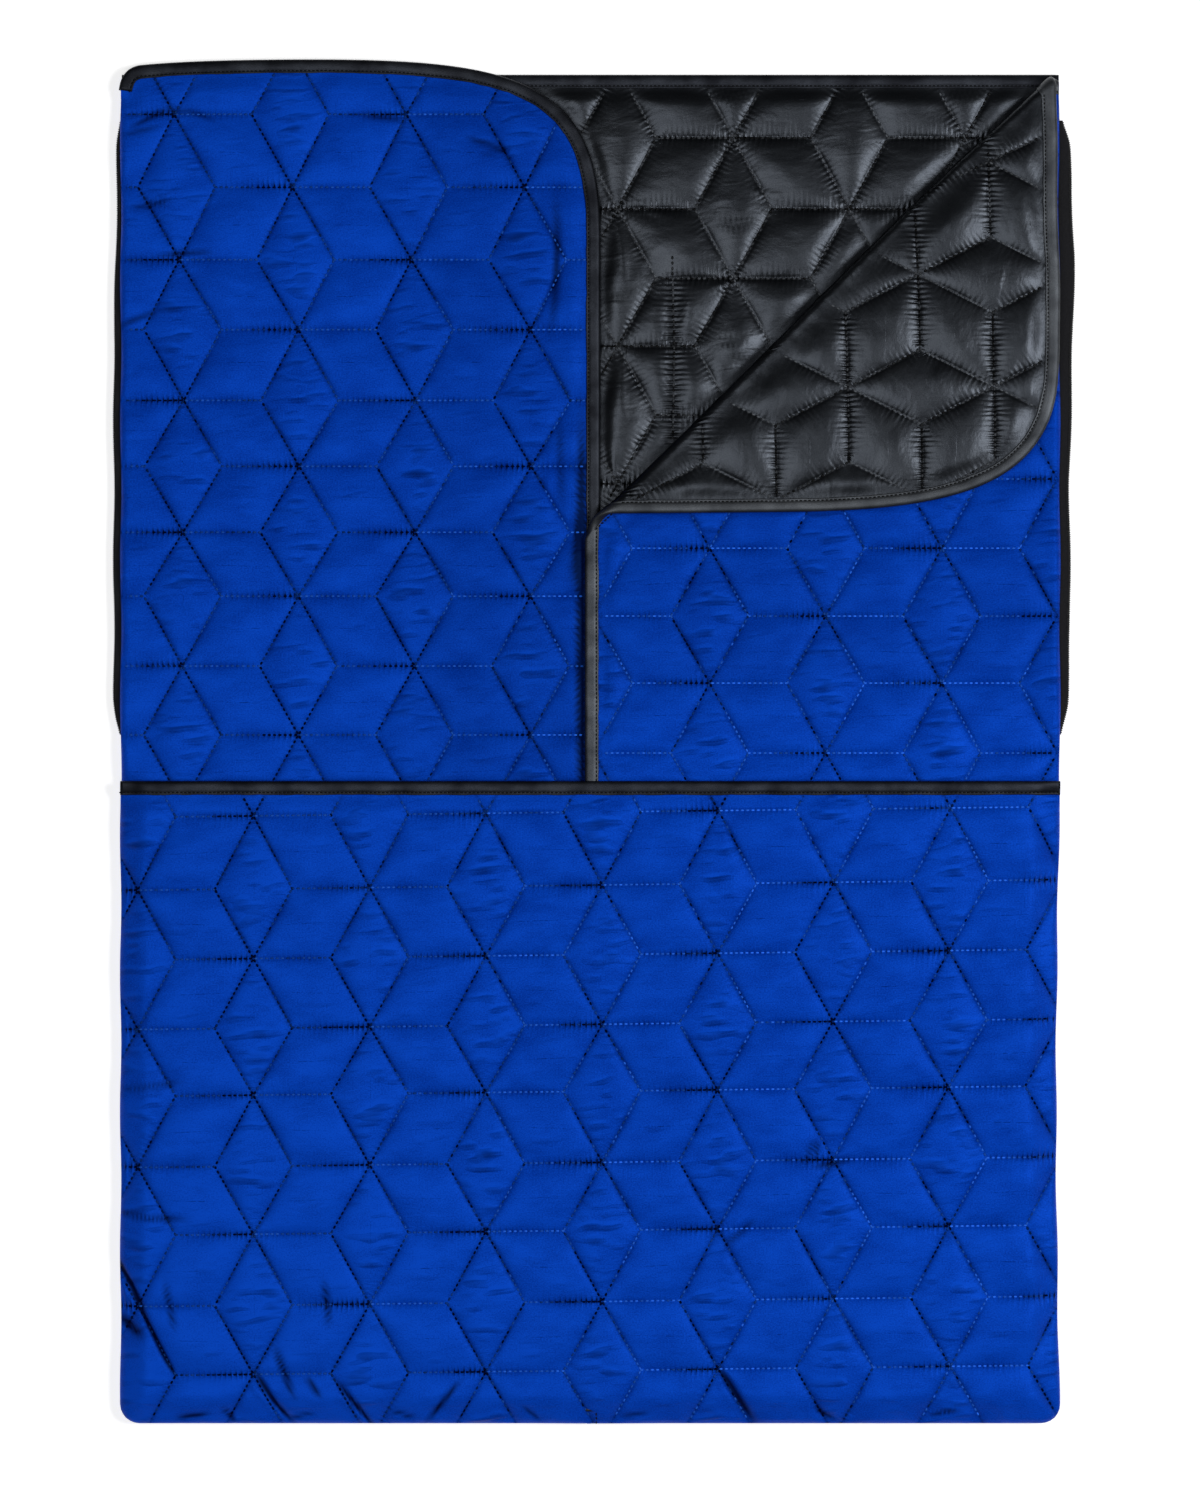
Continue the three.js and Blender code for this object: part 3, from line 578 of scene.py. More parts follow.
# Black satin lining, with painted shade in its gathers, seams and creases.
black_satin = quilted_cloth(
    "black_satin",
    colours=[(0.0015, 0.0015, 0.002), (0.0178, 0.0202, 0.0248), (0.0355, 0.04, 0.047)],
    grain={"size": 0.9, "height": 0.014, "colour": 1.6},
    gathers={"shares": (0.9, 0.4, 0.25), "beside_star": 0.3, "patchy": 2.0, "reach": 3.2, "height": 0.24,
             "loose": 0.3, "loose_reach": 8, "hollow_shades": (0.2, 0.35, 0.15), "dark": 1.2},
    wrinkle={"height": 0.42, "size": (15, 9), "corner": 0.5, "folds": 0.8, "from": 0.05, "dark": 0.0,
             "above": 2.0, "bright": 0.0, "trough": 0.2},
    Metallic=0.94,
    Roughness=0.345,
    Specular_IOR_Level=0.3,
)

LINING_CREASES = [
    Crease(13, 796, 34, 86, 4.2, -1.3, 1.5),
    Crease(13, 712, 40, 84, 3.8, -1.2, 1),
    Crease(22, 798, 46, 97, 2.2, 0.9, 3),
    Crease(21, 708, 44, 88, 2.2, 0.8, -2),
    Crease(15, 655, 34, 96, 2.0, 1.0),
    Crease(40, 828, 22, -28, 2.2, 1.0),
    Crease(46, 800, 26, 40, 2.4, 0.9),
    Crease(66, 756, 24, 84, 2.4, 1.0),
    Crease(119, 838, 22, -14, 2.2, 0.9),
    Crease(92, 776, 26, 12, 2.0, 0.8),
    Crease(100, 700, 46, 48, 2.2, 1.0),
    Crease(84, 690, 40, 62, 2.0, -0.9),
    Crease(118, 716, 34, 30, 1.8, -0.8),
    Crease(128, 733, 38, 40, 2.0, 0.9),
]

lining_quilting = Quilting(176.6, [640.2, 687.1, 734.1, 780.3, 827.6, 876.2])
LEFT_CORNER = bezier([(LEFT_EDGE_X, 812), (LEFT_EDGE_X, 913.5), (-50, 927.5), (-189, 927.5)], 30)


def past_left_front(x, y):
    """Distance past the left front's inner edge and rounded corner, and below 0 where they cover it."""
    edge = np.concatenate([[[LEFT_EDGE_X, 0]], LEFT_CORNER])
    away = distance_to(edge, x, y)
    return np.where(x > np.interp(y, edge[:, 1], edge[:, 0]), away, -away)


def from_upright(x, y):
    """Distance to the upright seam, that counts for less toward its upper end."""
    return distance_to(UPRIGHT_SEAM, x, y) + 14 * smooth(y, UPRIGHT_SEAM[-1][1] - 26, UPRIGHT_SEAM[-1][1])


def lining_shape(x, y, turned):
    """Full where the turned corner uncovers it, and pressed flat elsewhere."""
    puffs = filled(lining_quilting, x, y, 31, LINING_PUFF, 0.42, 0.8, 0.7, from_upright(x, y))
    puffs = puffs + creased(x, y, LINING_CREASES)
    uncovered = smooth(past_fold(x, y)[0], 5, UPRIGHT_REACH) * smooth(past_left_front(x, y), 2, 12)
    uncovered = uncovered * smooth(BACK_LENGTH - BINDING_REACH - y, 0, 10) * smooth(y, 436, 446)
    beside = smooth(HALF_WIDTH - np.abs(x), 4, 14)
    return np.where(turned, BACK_LINING_Z, LINING_TOP + uncovered * (puffs + 0.3) * beside)


back_lining = laid(
    "back_lining_cloth", lining_quilting, back_outline, LINING_STEPS, lining_shape, on_table, black_satin,
    # Painted shade in the lining's creases.
    trough=lambda x, y: -creased(x, y, LINING_CREASES),
    gathered_upright=lambda x, y: np.exp(-from_upright(x, y) / 4.0),
)
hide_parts("back_lining")

STITCH_LENGTH = 2.3
THREAD_RADIUS = 0.7
THREAD_SIDES = 5


def run_of(chain):
    """How far along a chain each of its points lies."""
    return np.concatenate([[0], np.cumsum(np.hypot(*np.diff(chain[:, :2], axis=0).T))])


def unit(ways):
    return ways / np.linalg.norm(ways, axis=1)[:, None]


def sewn(
    name, lines, place, height, material, shine,
    pitch=STITCH_PITCH, length=STITCH_LENGTH, radius=THREAD_RADIUS,
):
    """Thread that shows between its holes along flat lines. Height gives the cloth's at a flat point, and
    shine how much painted glint, rather than painted shade, each stitch gets."""
    middles, ways = [], []
    for chain in lines:
        chain = np.array(chain, float)
        chain = chain if chain.shape[1] == 3 else np.column_stack([chain, np.full(len(chain), -1)])
        reach = run_of(chain)
        stops = np.arange(pitch / 2, reach[-1], pitch)
        behind, middle, ahead = (
            np.stack([np.interp(stops + step, reach, column) for column in chain.T], axis=1)
            for step in (-0.1, 0, 0.1)
        )
        middles.append(middle)
        ways.append((ahead - behind)[:, :2])
    middles, ways = np.concatenate(middles), unit(np.concatenate(ways))
    middles, spokes = middles[:, :2], middles[:, 2]
    first, last = (middles - ways * length / 2).T, (middles + ways * length / 2).T
    first = place(*first, height(*first)) / MM
    last = place(*last, height(*last)) / MM
    ahead = unit(last - first)
    # Each stitch's painted glint; the glinting ones are also drawn a little thinner.
    raised = np.clip(shine(*middles.T, spokes), 0, 1)
    radius = radius * (1.25 - 0.35 * raised)[:, None]
    aside = unit(np.cross(ahead, [0, 0, 1]))
    above = np.cross(aside, ahead)
    corners = [first - ahead * radius * 0.2, last + ahead * radius * 0.2]
    for share in (0.2, 0.8):
        for turn in 2 * np.pi * np.arange(THREAD_SIDES) / THREAD_SIDES:
            middle = first * (1 - share) + last * share
            corners.append(middle + radius * (np.cos(turn) * aside + np.sin(turn) * above))
    points = np.stack(corners, axis=1)
    faces = []
    for k in range(THREAD_SIDES):
        near, next_near = 2 + k, 2 + (k + 1) % THREAD_SIDES
        far, next_far = near + THREAD_SIDES, next_near + THREAD_SIDES
        faces += [[0, near, next_near], [1, next_far, far]]
        faces += [[near, far, next_far], [near, next_far, next_near]]
    faces = np.array(faces)[None] + len(corners) * np.arange(len(points))[:, None, None]
    mesh = meshed(name, points * MM, faces.reshape(-1, 3).tolist())
    written(mesh, "painted_glint", np.repeat(raised, len(corners)))
    return piece_of(name, mesh, material)


def star_lines(quilting, inside):
    """The six spokes of every star, cut down to the stretches that are inside a region. The third number
    of each point is its spoke's, with how far out along the spoke it lies as the part after the point."""
    rows, columns, spokes = np.meshgrid(quilting.numbers, np.arange(-4, 5), np.arange(6), indexing="ij")
    share = np.linspace(0, 1, 16)
    numbers = spokes.reshape(-1, 1) + 0.999 * share
    spokes = SPOKES[spokes.ravel()]
    across = (columns + (rows % 2) / 2).reshape(-1, 1) + share * spokes[:, :1]
    x, y = quilting.point(across, rows.reshape(-1, 1) + share * spokes[:, 1:])
    kept = inside(x, y)
    whole = np.flatnonzero(kept.sum(1) > 2)
    return [np.stack([x[k][kept[k]], y[k][kept[k]], numbers[k][kept[k]]], axis=1) for k in whole]


def thread(name, in_shade, painted_glint, specular):
    """Twisted polyester thread, coloured dark as painted shade and pale as a painted glint where the mesh
    says so.
    """
    material, tree, shader = new_material(name)
    twist = node_of(tree, "TexNoise", Scale=1500.0, Detail=1.0)
    twist = worked_out(tree, "MULTIPLY", twist.outputs[0], 0.2)
    factor = worked_out(tree, "ADD", told(tree, "painted_glint"), twist)
    colour = blended(tree, worked_out(tree, "SUBTRACT", factor, 0.1), in_shade, painted_glint)
    tree.links.new(colour, shader.inputs["Base Color"])
    set_to(shader, Roughness=0.5, Specular_IOR_Level=specular)
    return material


black_thread = thread("black_thread", (0.002, 0.002, 0.002), (0.1, 0.11, 0.125), 0.1)


def spoke_shine(by_spoke, x, y, spokes, seed):
    """How much painted glint stitches get against painted shade, from a pair for each spoke, at the star
    and at its far end.
    """
    number = np.clip(np.floor(spokes), 0, 5).astype(int)
    ends = np.array(by_spoke)[number]
    share = smooth(spokes - np.floor(spokes), 0.1, 0.8)
    value = ends[:, 0] * (1 - share) + ends[:, 1] * share
    return value + 0.25 * uneven(x, y, 40, 30, seed) + 0.6 * (chance(x, y, seed) - 0.5)


def black_shine(x, y, spokes):
    # Painted glint on the lining's stitches, spoke by spoke.
    pairs = [(0.1, 0.1), (0.15, 0.15), (0.6, 0.7)]
    return spoke_shine(pairs + pairs, x, y, spokes, 61)


def lining_shows(x, y):
    clear_of_roll = past_fold(x, y)[0] > 8
    open_to_view = (past_left_front(x, y) > 2) & (y > 600)
    return clear_of_roll & open_to_view & (y < BACK_LENGTH - BINDING_REACH) & (x < HALF_WIDTH - 3)


lining_stitches = sewn(
    "back_lining_stitches", star_lines(lining_quilting, lining_shows) + [UPRIGHT_SEAM], on_table,
    lambda x, y: lining_shape(x, y, False) + 0.15, black_thread, black_shine,
)


# Side zips.
# A closed coil zip joins each front to the back down its upper side. Its two tapes are sewn in between
# the cloths, and the nylon coil stands out past the side edge.

COIL_HALF_WIDTH = 2.1
COIL_RADIUS = 1.2
RIB_DEPTH = 0.4
COIL_PITCH = 1.5
COIL_SIDES = 10
STEPS_A_TURN = 6
EVENED_STEPS = 81
TWILL_RIB = 0.5
LEFT_Z = 8.6
COIL_Z = (BACK_TOP + GAP + LEFT_Z - GAP) / 2
LEFT_REACH_BY_Y = {469: 1, 479: 3.8, 493: 5.4, 744: 5.4, 799: 3.8, 873: 3.2, 888: 0.6}
RIGHT_REACH_BY_Y = {
    469: 1.2, 478: 3.4, 489: 6, 545: 7.8, 640: 7.2, 744: 9.6, 795: 10.6, 850: 8.6, 873: 7.2, 888: 2
}

nylon, tree, shader = new_material("black_nylon_coil")
scuffs = node_of(tree, "TexNoise", Scale=900.0, Detail=3.0)
scuffed = node_of(tree, "MapRange", To_Min=0.3, To_Max=0.6)
tree.links.new(scuffs.outputs[0], scuffed.inputs["Value"])
tree.links.new(scuffed.outputs[0], shader.inputs["Roughness"])
set_to(shader, Base_Color=(0.004, 0.004, 0.005, 1), Specular_IOR_Level=0.25)

# Fine twill tape, with a painted highlight on the tops of its slanting ribs.
zip_twill, tree, shader = new_material("zip_tape_twill")
place = node_of(tree, "TexCoord").outputs["Object"]
slanted = node_of(tree, "Mapping", place, Rotation=(0, 0, 0.9)).outputs[0]
ribs = node_of(tree, "TexWave", slanted, Scale=1 / (TWILL_RIB * MM * 2), Distortion=1.2, Detail=1.0)
fuzz = node_of(tree, "TexNoise", place, Scale=700.0, Detail=2.0)
rib_highlight = worked_out(tree, "MULTIPLY", ribs.outputs[1], fuzz.outputs[0])
twill_colour = blended(tree, rib_highlight, (0.003, 0.003, 0.004), (0.022, 0.022, 0.026))
tree.links.new(twill_colour, shader.inputs["Base Color"])
bumped(tree, shader, ribs.outputs[1], 0.6, 0.0001)
set_to(shader, Roughness=0.7, Specular_IOR_Level=0.15)


def coil(name, reach_by_y, side, node):
    """The coil's turns, packed close along the line where the two tapes meet."""
    heights = list(reach_by_y)
    turns = int((heights[-1] - heights[0]) / COIL_PITCH)
    y = np.linspace(heights[0], heights[-1], turns * STEPS_A_TURN + 1)
    reach = np.interp(y, heights, list(reach_by_y.values()))
    evened = np.hanning(EVENED_STEPS) / np.hanning(EVENED_STEPS).sum()
    reach = np.convolve(np.pad(reach, EVENED_STEPS // 2, mode="edge"), evened, mode="valid")
    phase = 2 * np.pi * np.arange(len(y)) / STEPS_A_TURN
    round_it = 2 * np.pi * np.arange(COIL_SIDES) / COIL_SIDES
    radius = COIL_RADIUS - RIB_DEPTH * (0.5 - 0.5 * np.cos(phase[:, None] + 0.6 * np.sin(round_it)))
    radius[[0, -1]] = 0.1
    x = side * (HALF_WIDTH + reach - COIL_HALF_WIDTH)
    points = on_table(
        x[:, None] + radius * np.cos(round_it) * COIL_HALF_WIDTH / COIL_RADIUS,
        y[:, None] + 0 * radius,
        COIL_Z + radius * np.sin(round_it),
    )
    numbers = np.arange(radius.size).reshape(radius.shape)
    faces = squares_of(np.column_stack([numbers, numbers[:, 0]])).tolist()
    faces += [numbers[0].tolist(), numbers[-1][::-1].tolist()]
    piece = piece_of(name, meshed(name, points, faces), nylon)
    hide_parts(node)
    return piece


left_coil = coil("left_zip_teeth", LEFT_REACH_BY_Y, -1, "left_zip_coil")
right_coil = coil("right_zip_teeth", RIGHT_REACH_BY_Y, 1, "right_zip_coil")
for side in ("left", "right"):
    for layer in ("back", "front"):
        tape = bpy.data.objects[f"{side}_zip_{layer}_tape"]
        tape.material_slots[0].link = "OBJECT"
        tape.material_slots[0].material = zip_twill


# Left front.
# Outer cloth and wadding of the left half, which opens at the middle. Its rounded corner, its top and
# its inner edge are bound. It lies under the right front, and its lower half under the foot panel.

LEFT_STEPS = 22
STITCHED = 1.9
SHELL_PUFF = 4.2
SHELL_RISE = 0.12
FULL_FROM = FOOT_LENGTH - 4
EDGE_TURN = 5.5
SIDE_STOPS = (0.6, 1.6, 3.2, 5.2)
DROOP_FROM = 22
LEFT_DROOP = 3.0
ZIP_FOOT = 466

left_bound_edge = np.concatenate(
    [
        [[LEFT_EDGE_X, 0]],
        LEFT_CORNER,
        bezier([(-189, 927.5), (-270, 927.5), (-308, 923.5)], 8)[1:],
        bezier([(-308, 923.5), (-319, 921), (-320, 908)], 6)[1:],
    ]
)
left_outline = np.concatenate([hem_corner(-1), left_bound_edge])
left_quilting = Quilting(
    -198.7,
    [468.9, 515.8, 563.4, 606.9, 651.8, 696.7, 744.9, 792.5, 841.8, 891.5],
    sways=[0, 0, 0, 0.5, 0.5, 1, 0, -2, -4, -5.5],
)
# Painted shadow that the right front's edge casts on the left front, only in its colour.
OVERLAP_PAINTED_SHADOW = [
    Crease(-5.8, 548, 230, 90, 2.9, -3.5),
    Crease(-8.5, 596, 46, 86, 4.0, -1.4),
]
LEFT_CREASES = [
    Crease(-300, 889, 26, 28, 1.8, -1.1),
    Crease(-306, 880, 24, 14, 1.8, -0.9),
    Crease(-272, 893, 30, -12, 1.8, -0.9, -2),
    Crease(-300, 830, 26, 12, 2.2, -1.0),
    Crease(-268, 828, 30, 20, 2.2, 1.0, 3),
    Crease(-309, 752, 26, 22, 1.8, -1.0),
    Crease(-276, 797, 34, 4, 1.8, -1.0, -1),
    Crease(-140, 889, 26, -6, 1.8, -0.9),
    Crease(-72, 872, 22, -14, 1.8, -1.0),
    Crease(-64, 866, 18, 10, 1.6, -0.8),
    Crease(-23, 790, 84, 88, 2.6, -1.0, 2),
    Crease(-20.5, 655, 50, 92, 2.2, -0.8),
    Crease(-28, 640, 40, 84, 2.6, 0.7),
]


def rolled_under(distance):
    """From 1 inside a sewn edge down to 0 on it, as the cloth rolls under."""
    share = np.clip(distance / EDGE_TURN, 0, 1)
    return np.sqrt(1 - (1 - share) ** 2)


def drooped(x, y, upper_end):
    """How far the cloth sinks towards the sewn sides and hem, below the zips."""
    beside = 1 - smooth(np.minimum(HALF_WIDTH - np.abs(x), y), 0, DROOP_FROM)
    return beside * (1 - smooth(y, upper_end - 40, upper_end))


def front_fullness(from_binding, y):
    """Pressed flat by the binding and by the foot panel, and full from there on."""
    clear_of_foot = smooth(y, FULL_FROM, FULL_FROM + 10)
    return smooth(from_binding, BINDING_REACH - 1, BINDING_REACH + 13) * clear_of_foot


def shell_height(full, puffs, at_binding, side):
    """An outer cloth's height over its lower face. It rolls under at a sewn side, but not at a binding."""
    height = STITCHED + 0.2 + full * puffs
    return 0.5 + (height - 0.5) * rolled_under(np.where(at_binding, EDGE_TURN, side))


def left_shape(x, y, turned):
    puffs = filled(left_quilting, x, y, 11, SHELL_PUFF, 0.3, 0.8) + creased(x, y, LEFT_CREASES)
    from_binding = distance_to(left_bound_edge, x, y)
    side = np.minimum(x + HALF_WIDTH, y)
    height = shell_height(front_fullness(from_binding, y), puffs, from_binding < 4, side)
    return np.where(turned, 0, height) - LEFT_DROOP * drooped(x, y, ZIP_FOOT)


def left_nap(x, y):
    """Painted light: how much lighter the satin is coloured towards its outer corners."""
    return 0.17 * smooth(np.abs(y - 655), 60, 170) * (1 - smooth(x, -160, -80))


def left_trough(x, y):
    """Painted shade: how dark the satin is coloured in its creases, in a painted shadow under the right
    front's edge, and over its inner part beside that edge.
    """
    return 0.18 * smooth(x, -160, -80) - creased(x, y, LEFT_CREASES + OVERLAP_PAINTED_SHADOW)


def place_left(x, y, z):
    return on_table(x, y, LEFT_Z + z)


side_slits = [((stop - HALF_WIDTH, 0), (0, 1)) for stop in SIDE_STOPS]
hem_slits = [((0, stop), (1, 0)) for stop in SIDE_STOPS]
left_front = laid(
    "left_front_quilt", left_quilting, left_outline, LEFT_STEPS, left_shape, place_left, blue_satin,
    slits=side_slits,
    trough=left_trough,
    nap=left_nap,
)
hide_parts("left_front_panel")

blue_thread = thread("blue_thread", (0.0001, 0.001, 0.014), (0.03, 0.19, 1.0), 0.0)


def blue_shine(x, y, spokes):
    pairs = [(0.85, 0.6), (0.1, 0.4), (-0.05, 0.05), (-0.2, 0.6), (0, 0.2), (-0.05, 0.45)]
    # Painted glint on the blue stitches, stronger towards the right.
    toward_right = smooth(x, -220, 100)
    return spoke_shine(pairs, x, y, spokes, 62) * (0.45 + 0.55 * toward_right) + 0.1 * toward_right


def clear_of_tape(outline, bound_edge, x, y):
    """If flat points lie inside a panel and not under the tape on its edge."""
    return within(outline, x, y) & (distance_to(bound_edge, x, y) > BINDING_REACH - 0.5)


def left_shows(x, y):
    clear = clear_of_tape(left_outline, left_bound_edge, x, y)
    return clear & (x > 3 - HALF_WIDTH) & (y > FOOT_LENGTH - 6)


left_stitches = sewn(
    "left_front_stitches", star_lines(left_quilting, left_shows), place_left,
    lambda x, y: left_shape(x, y, False) + SHELL_RISE, blue_thread, blue_shine,
)

SHELL_TOP = STITCHED + 0.3
HEM_ALLOWANCE = 9
BINDING_STEP = 2.4
BINDING_STITCH = 6.3
TAPE_PITCH = 2.8
TAPE_STITCH_LENGTH = 1.9
TAPE_THREAD_RADIUS = 0.4
STITCH_RISE = 0.66
Bend = namedtuple("Bend", "depth rise")
BINDING_PROFILE = [
    Bend(7.3, 0.15),
    Bend(7.85, 0.3),
    Bend(7.9, 0.6),
    Bend(7.6, 0.85),
    Bend(7.0, 0.9),
    Bend(6.3, 0.5),
    Bend(5.6, 0.95),
    Bend(4.4, 1.2),
    Bend(2.6, 1.3),
    Bend(0.8, 1.2),
    Bend(-0.5, 0.8),
    Bend(-1.3, 0.1),
]


def tape_satin(name, shaded, shining):
    """Narrow woven satin tape, between two colours."""
    material, tree, shader = new_material(name)
    place = node_of(tree, "TexCoord").outputs["Object"]
    weave = node_of(tree, "TexNoise", place, Scale=1400.0, Detail=2.0).outputs[0]
    cloud = node_of(tree, "TexNoise", place, Scale=60.0, Detail=2.0).outputs[0]
    patches = worked_out(tree, "MULTIPLY", worked_out(tree, "SUBTRACT", cloud, 0.3), 5)
    colour = blended(tree, worked_out(tree, "MULTIPLY", weave, patches), shaded, shining)
    tree.links.new(colour, shader.inputs["Base Color"])
    bumped(tree, shader, weave, 0.6, 0.00015)
    set_to(shader, Metallic=0.9, Roughness=0.5, Specular_IOR_Level=0.3)
    return material


dark_tape_satin = tape_satin("dark_tape_satin", (0.009, 0.01, 0.0135), (0.028, 0.0315, 0.04))


def evenly(chain, step):
    """Even points along a chain, with the way in from the edge at each."""
    reach = run_of(chain)
    stops = np.linspace(0, reach[-1], int(reach[-1] / step) + 1)
    points = np.stack([np.interp(stops, reach, chain[:, k]) for k in (0, 1)], axis=1)
    ahead = unit(np.gradient(points, axis=0))
    return stops, points, np.stack([-ahead[:, 1], ahead[:, 0]], axis=1)


def bound(name, chain, lower, upper, place, seed, material=dark_tape_satin, step=BINDING_STEP):
    """Tape folded round an edge and stitched near its inner rim. Its lower half mirrors the upper."""
    whole = evenly(chain, step)
    keep = whole[1][:, 1] > HEM_ALLOWANCE
    stops, points, inward = (part[keep] for part in whole)
    bends = [(depth, upper + rise, rise) for depth, rise in BINDING_PROFILE]
    bends += [(-BINDING_OVERHANG, (lower + upper) / 2, 0)]
    bends += [(depth, lower - rise, 0) for depth, rise in BINDING_PROFILE[::-1]]
    columns = []
    for depth, height, share in bends:
        waver = uneven(stops, 0 * stops + depth / 4, 5.5, 1, seed)
        drawn = 0.25 * uneven(stops, 0 * stops, 7, 1, seed + 1) * (depth > 5)
        flat = points + inward * (depth + drawn)[:, None]
        columns.append(place(flat[:, 0], flat[:, 1], height + 0.16 * share * waver))
    depths = [[depth] for depth, _, _ in bends]
    ends = [place(*(points[k] + inward[k] * depths).T, 0.5 * (lower + upper)) for k in (0, -1)]
    grid = np.concatenate([ends[:1], np.stack(columns, axis=1), ends[1:]])
    numbers = np.arange(grid.size // 3).reshape(grid.shape[:2])
    piece = piece_of(name, meshed(name, grid, squares_of(numbers).tolist()), material)
    return piece


def binding_line(chain, step=BINDING_STEP):
    """The row of stitches that holds a tape."""
    _, points, inward = evenly(chain, step)
    return points + inward * BINDING_STITCH


def sewn_through(name, line, place, level):
    """The stitches that hold a tape, set in it at one level."""
    stitches = sewn(
        name, [line], place, lambda x, y: 0 * x + level, black_thread, lambda x, y, spokes: 0 * x,
        TAPE_PITCH, TAPE_STITCH_LENGTH, TAPE_THREAD_RADIUS,
    )
    return stitches


def taped_edge(panel, chain, lower, upper, place, seed):
    """The tape on a panel's edge, and its row of stitches."""
    tape = bound(f"{panel}_edge_tape", chain, lower, upper, place, seed)
    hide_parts(f"{panel}_binding")
    return [tape, sewn_through(f"{panel}_edge_stitches", binding_line(chain), place, upper + STITCH_RISE)]


left_tape = taped_edge("left_front", left_bound_edge, 0, SHELL_TOP, place_left, 41)


# Right front, outer cloth.
# It lies over the left front's inner edge. Its upper corner rolls back over a slanting line, so that
# its quilted outer cloth lies face down under the turned corner.

RIGHT_EDGE_X = -2.2
RIGHT_LENGTH = 912
RIGHT_STEPS = 20
RIGHT_Z = 9.6
RIGHT_LIFT = 3.4
RIGHT_DROOP = 3.6
OVERLAP_X = 1.2
OVERLAP_HALF = 6
OVERLAP_RAMP = 45
FOLD_LENGTH = 437
FOLD_SLIDE = 11
FOLD_SHEAR = 0.1
FOLD_BOW = 4.5
FOLD_BOW_REACH = 50
FLAP_SHADE = 10
ROLL_LENGTH = np.pi * FOLD_RADIUS
ROLL_STOPS = np.arange(-3, ROLL_LENGTH + 4, 1.2)

right_corner = [(120, RIGHT_LENGTH), (30, RIGHT_LENGTH), (RIGHT_EDGE_X, 879), (RIGHT_EDGE_X, 740)]
right_bound_edge = np.concatenate(
    [[[HALF_WIDTH, RIGHT_LENGTH]], bezier(right_corner, 30), [[RIGHT_EDGE_X, 0]]]
)
right_outline = np.concatenate([hem_corner(1), right_bound_edge])
right_quilting = Quilting(160.3, [456.6, 504.2, 549.8, 596.0])


def overlap(x):
    """1 over the overlap of the two bound inner edges, falling to 0 on both sides of it."""
    return 1 - smooth(np.abs(x - OVERLAP_X) - OVERLAP_HALF, 0, OVERLAP_RAMP)


def beside_fold(along, across):
    """The flat place that lies so far along the fold line and across it."""
    return (
        FOLD_X + along * np.cos(FOLD_ANGLE) - across * np.sin(FOLD_ANGLE),
        FOLD_Y + along * np.sin(FOLD_ANGLE) + across * np.cos(FOLD_ANGLE),
    )


def place_right(x, y, z):
    """Lays the right front flat up to the fold line, round the roll and back on itself."""
    past, start = past_fold(x, y)
    turn = np.clip(past / FOLD_RADIUS, 0, np.pi)
    back = np.maximum(past - ROLL_LENGTH, 0)
    along = start + FOLD_SLIDE * turn / np.pi + FOLD_SHEAR * back
    share = np.clip(along / FOLD_LENGTH, 0, 1)
    unbowed = np.minimum(past, 0) + (FOLD_RADIUS - z) * np.sin(turn) - back
    bow = FOLD_BOW * np.sin(np.pi * share**2) * np.exp(-np.abs(unbowed) / FOLD_BOW_REACH)
    height = FOLD_RADIUS - (FOLD_RADIUS - z) * np.cos(turn)
    lift = RIGHT_LIFT * overlap(np.where(past > 0, FOLD_X + start * np.cos(FOLD_ANGLE), x))
    return on_table(*beside_fold(along, unbowed + bow), RIGHT_Z + height + lift)


flap_edge = place_right(*binding_line(right_bound_edge).T, 0)[:, :2] / MM + [MIDDLE_X, MIDDLE_Y]


def mirrored(x, y):
    """Where on the flat cloth the turned corner's point above a place of the panel comes from."""
    past, along = past_fold(x, y)
    back = ROLL_LENGTH - past
    return beside_fold(along - FOLD_SLIDE - FOLD_SHEAR * (back - ROLL_LENGTH), back)


def under_flap(x, y):
    """1 under the turned corner and its edge, falling to 0 a little way out."""
    past, _ = past_fold(x, y)
    near_edge = distance_to(flap_edge[::6], x, y)
    covered = within(right_outline, *mirrored(x, y)) & (past < 0)
    return np.where(covered, 1, 1 - smooth(near_edge, 3, FLAP_SHADE))


def right_shape(x, y, turned):
    puffs = filled(right_quilting, x, y, 12, SHELL_PUFF, 0.34, 0.8)
    past, _ = past_fold(x, y)
    from_binding = distance_to(right_bound_edge, x, y)
    full = front_fullness(from_binding, y) * (1 - under_flap(x, y)) * (1 - smooth(past, -20, -8))
    height = shell_height(full, puffs, from_binding < 4, np.minimum(HALF_WIDTH - x, y))
    return np.where(turned, 0.3, height) - RIGHT_DROOP * drooped(x, y, ZIP_FOOT)


def beside_tape(x, y):
    """Uneven gathers where the tape's stitches draw the cloth in, with painted shade on them."""
    away = np.abs(x - RIGHT_EDGE_X - BINDING_REACH)
    return 0.85 * np.exp(-away / 3.0) * np.clip(0.6 + 0.5 * uneven(x, y, 26, 30, 71), 0, 1)


fold_way = (np.cos(FOLD_ANGLE), np.sin(FOLD_ANGLE))
fold_slits = [((FOLD_X - stop * fold_way[1], FOLD_Y + stop * fold_way[0]), fold_way) for stop in ROLL_STOPS]
right_side_slits = [((HALF_WIDTH - stop, 0), (0, 1)) for stop in SIDE_STOPS]
right_front = laid(
    "right_front_quilt", right_quilting, right_outline, RIGHT_STEPS, right_shape, place_right, blue_satin,
    slits=right_side_slits + fold_slits,
    closed=False,
    gathered_upright=beside_tape,
    # Painted shade over the right front, from just above the foot panel upwards.
    trough=lambda x, y: 0.2 * smooth(y, 455, 530),
)
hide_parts("right_front_panel")


def right_shows(x, y):
    clear = clear_of_tape(right_outline, right_bound_edge, x, y)
    clear = clear & (x < HALF_WIDTH - 3) & (y > FOOT_LENGTH - 6)
    return clear & (past_fold(x, y)[0] < -6) & (under_flap(x, y) < 0.95)


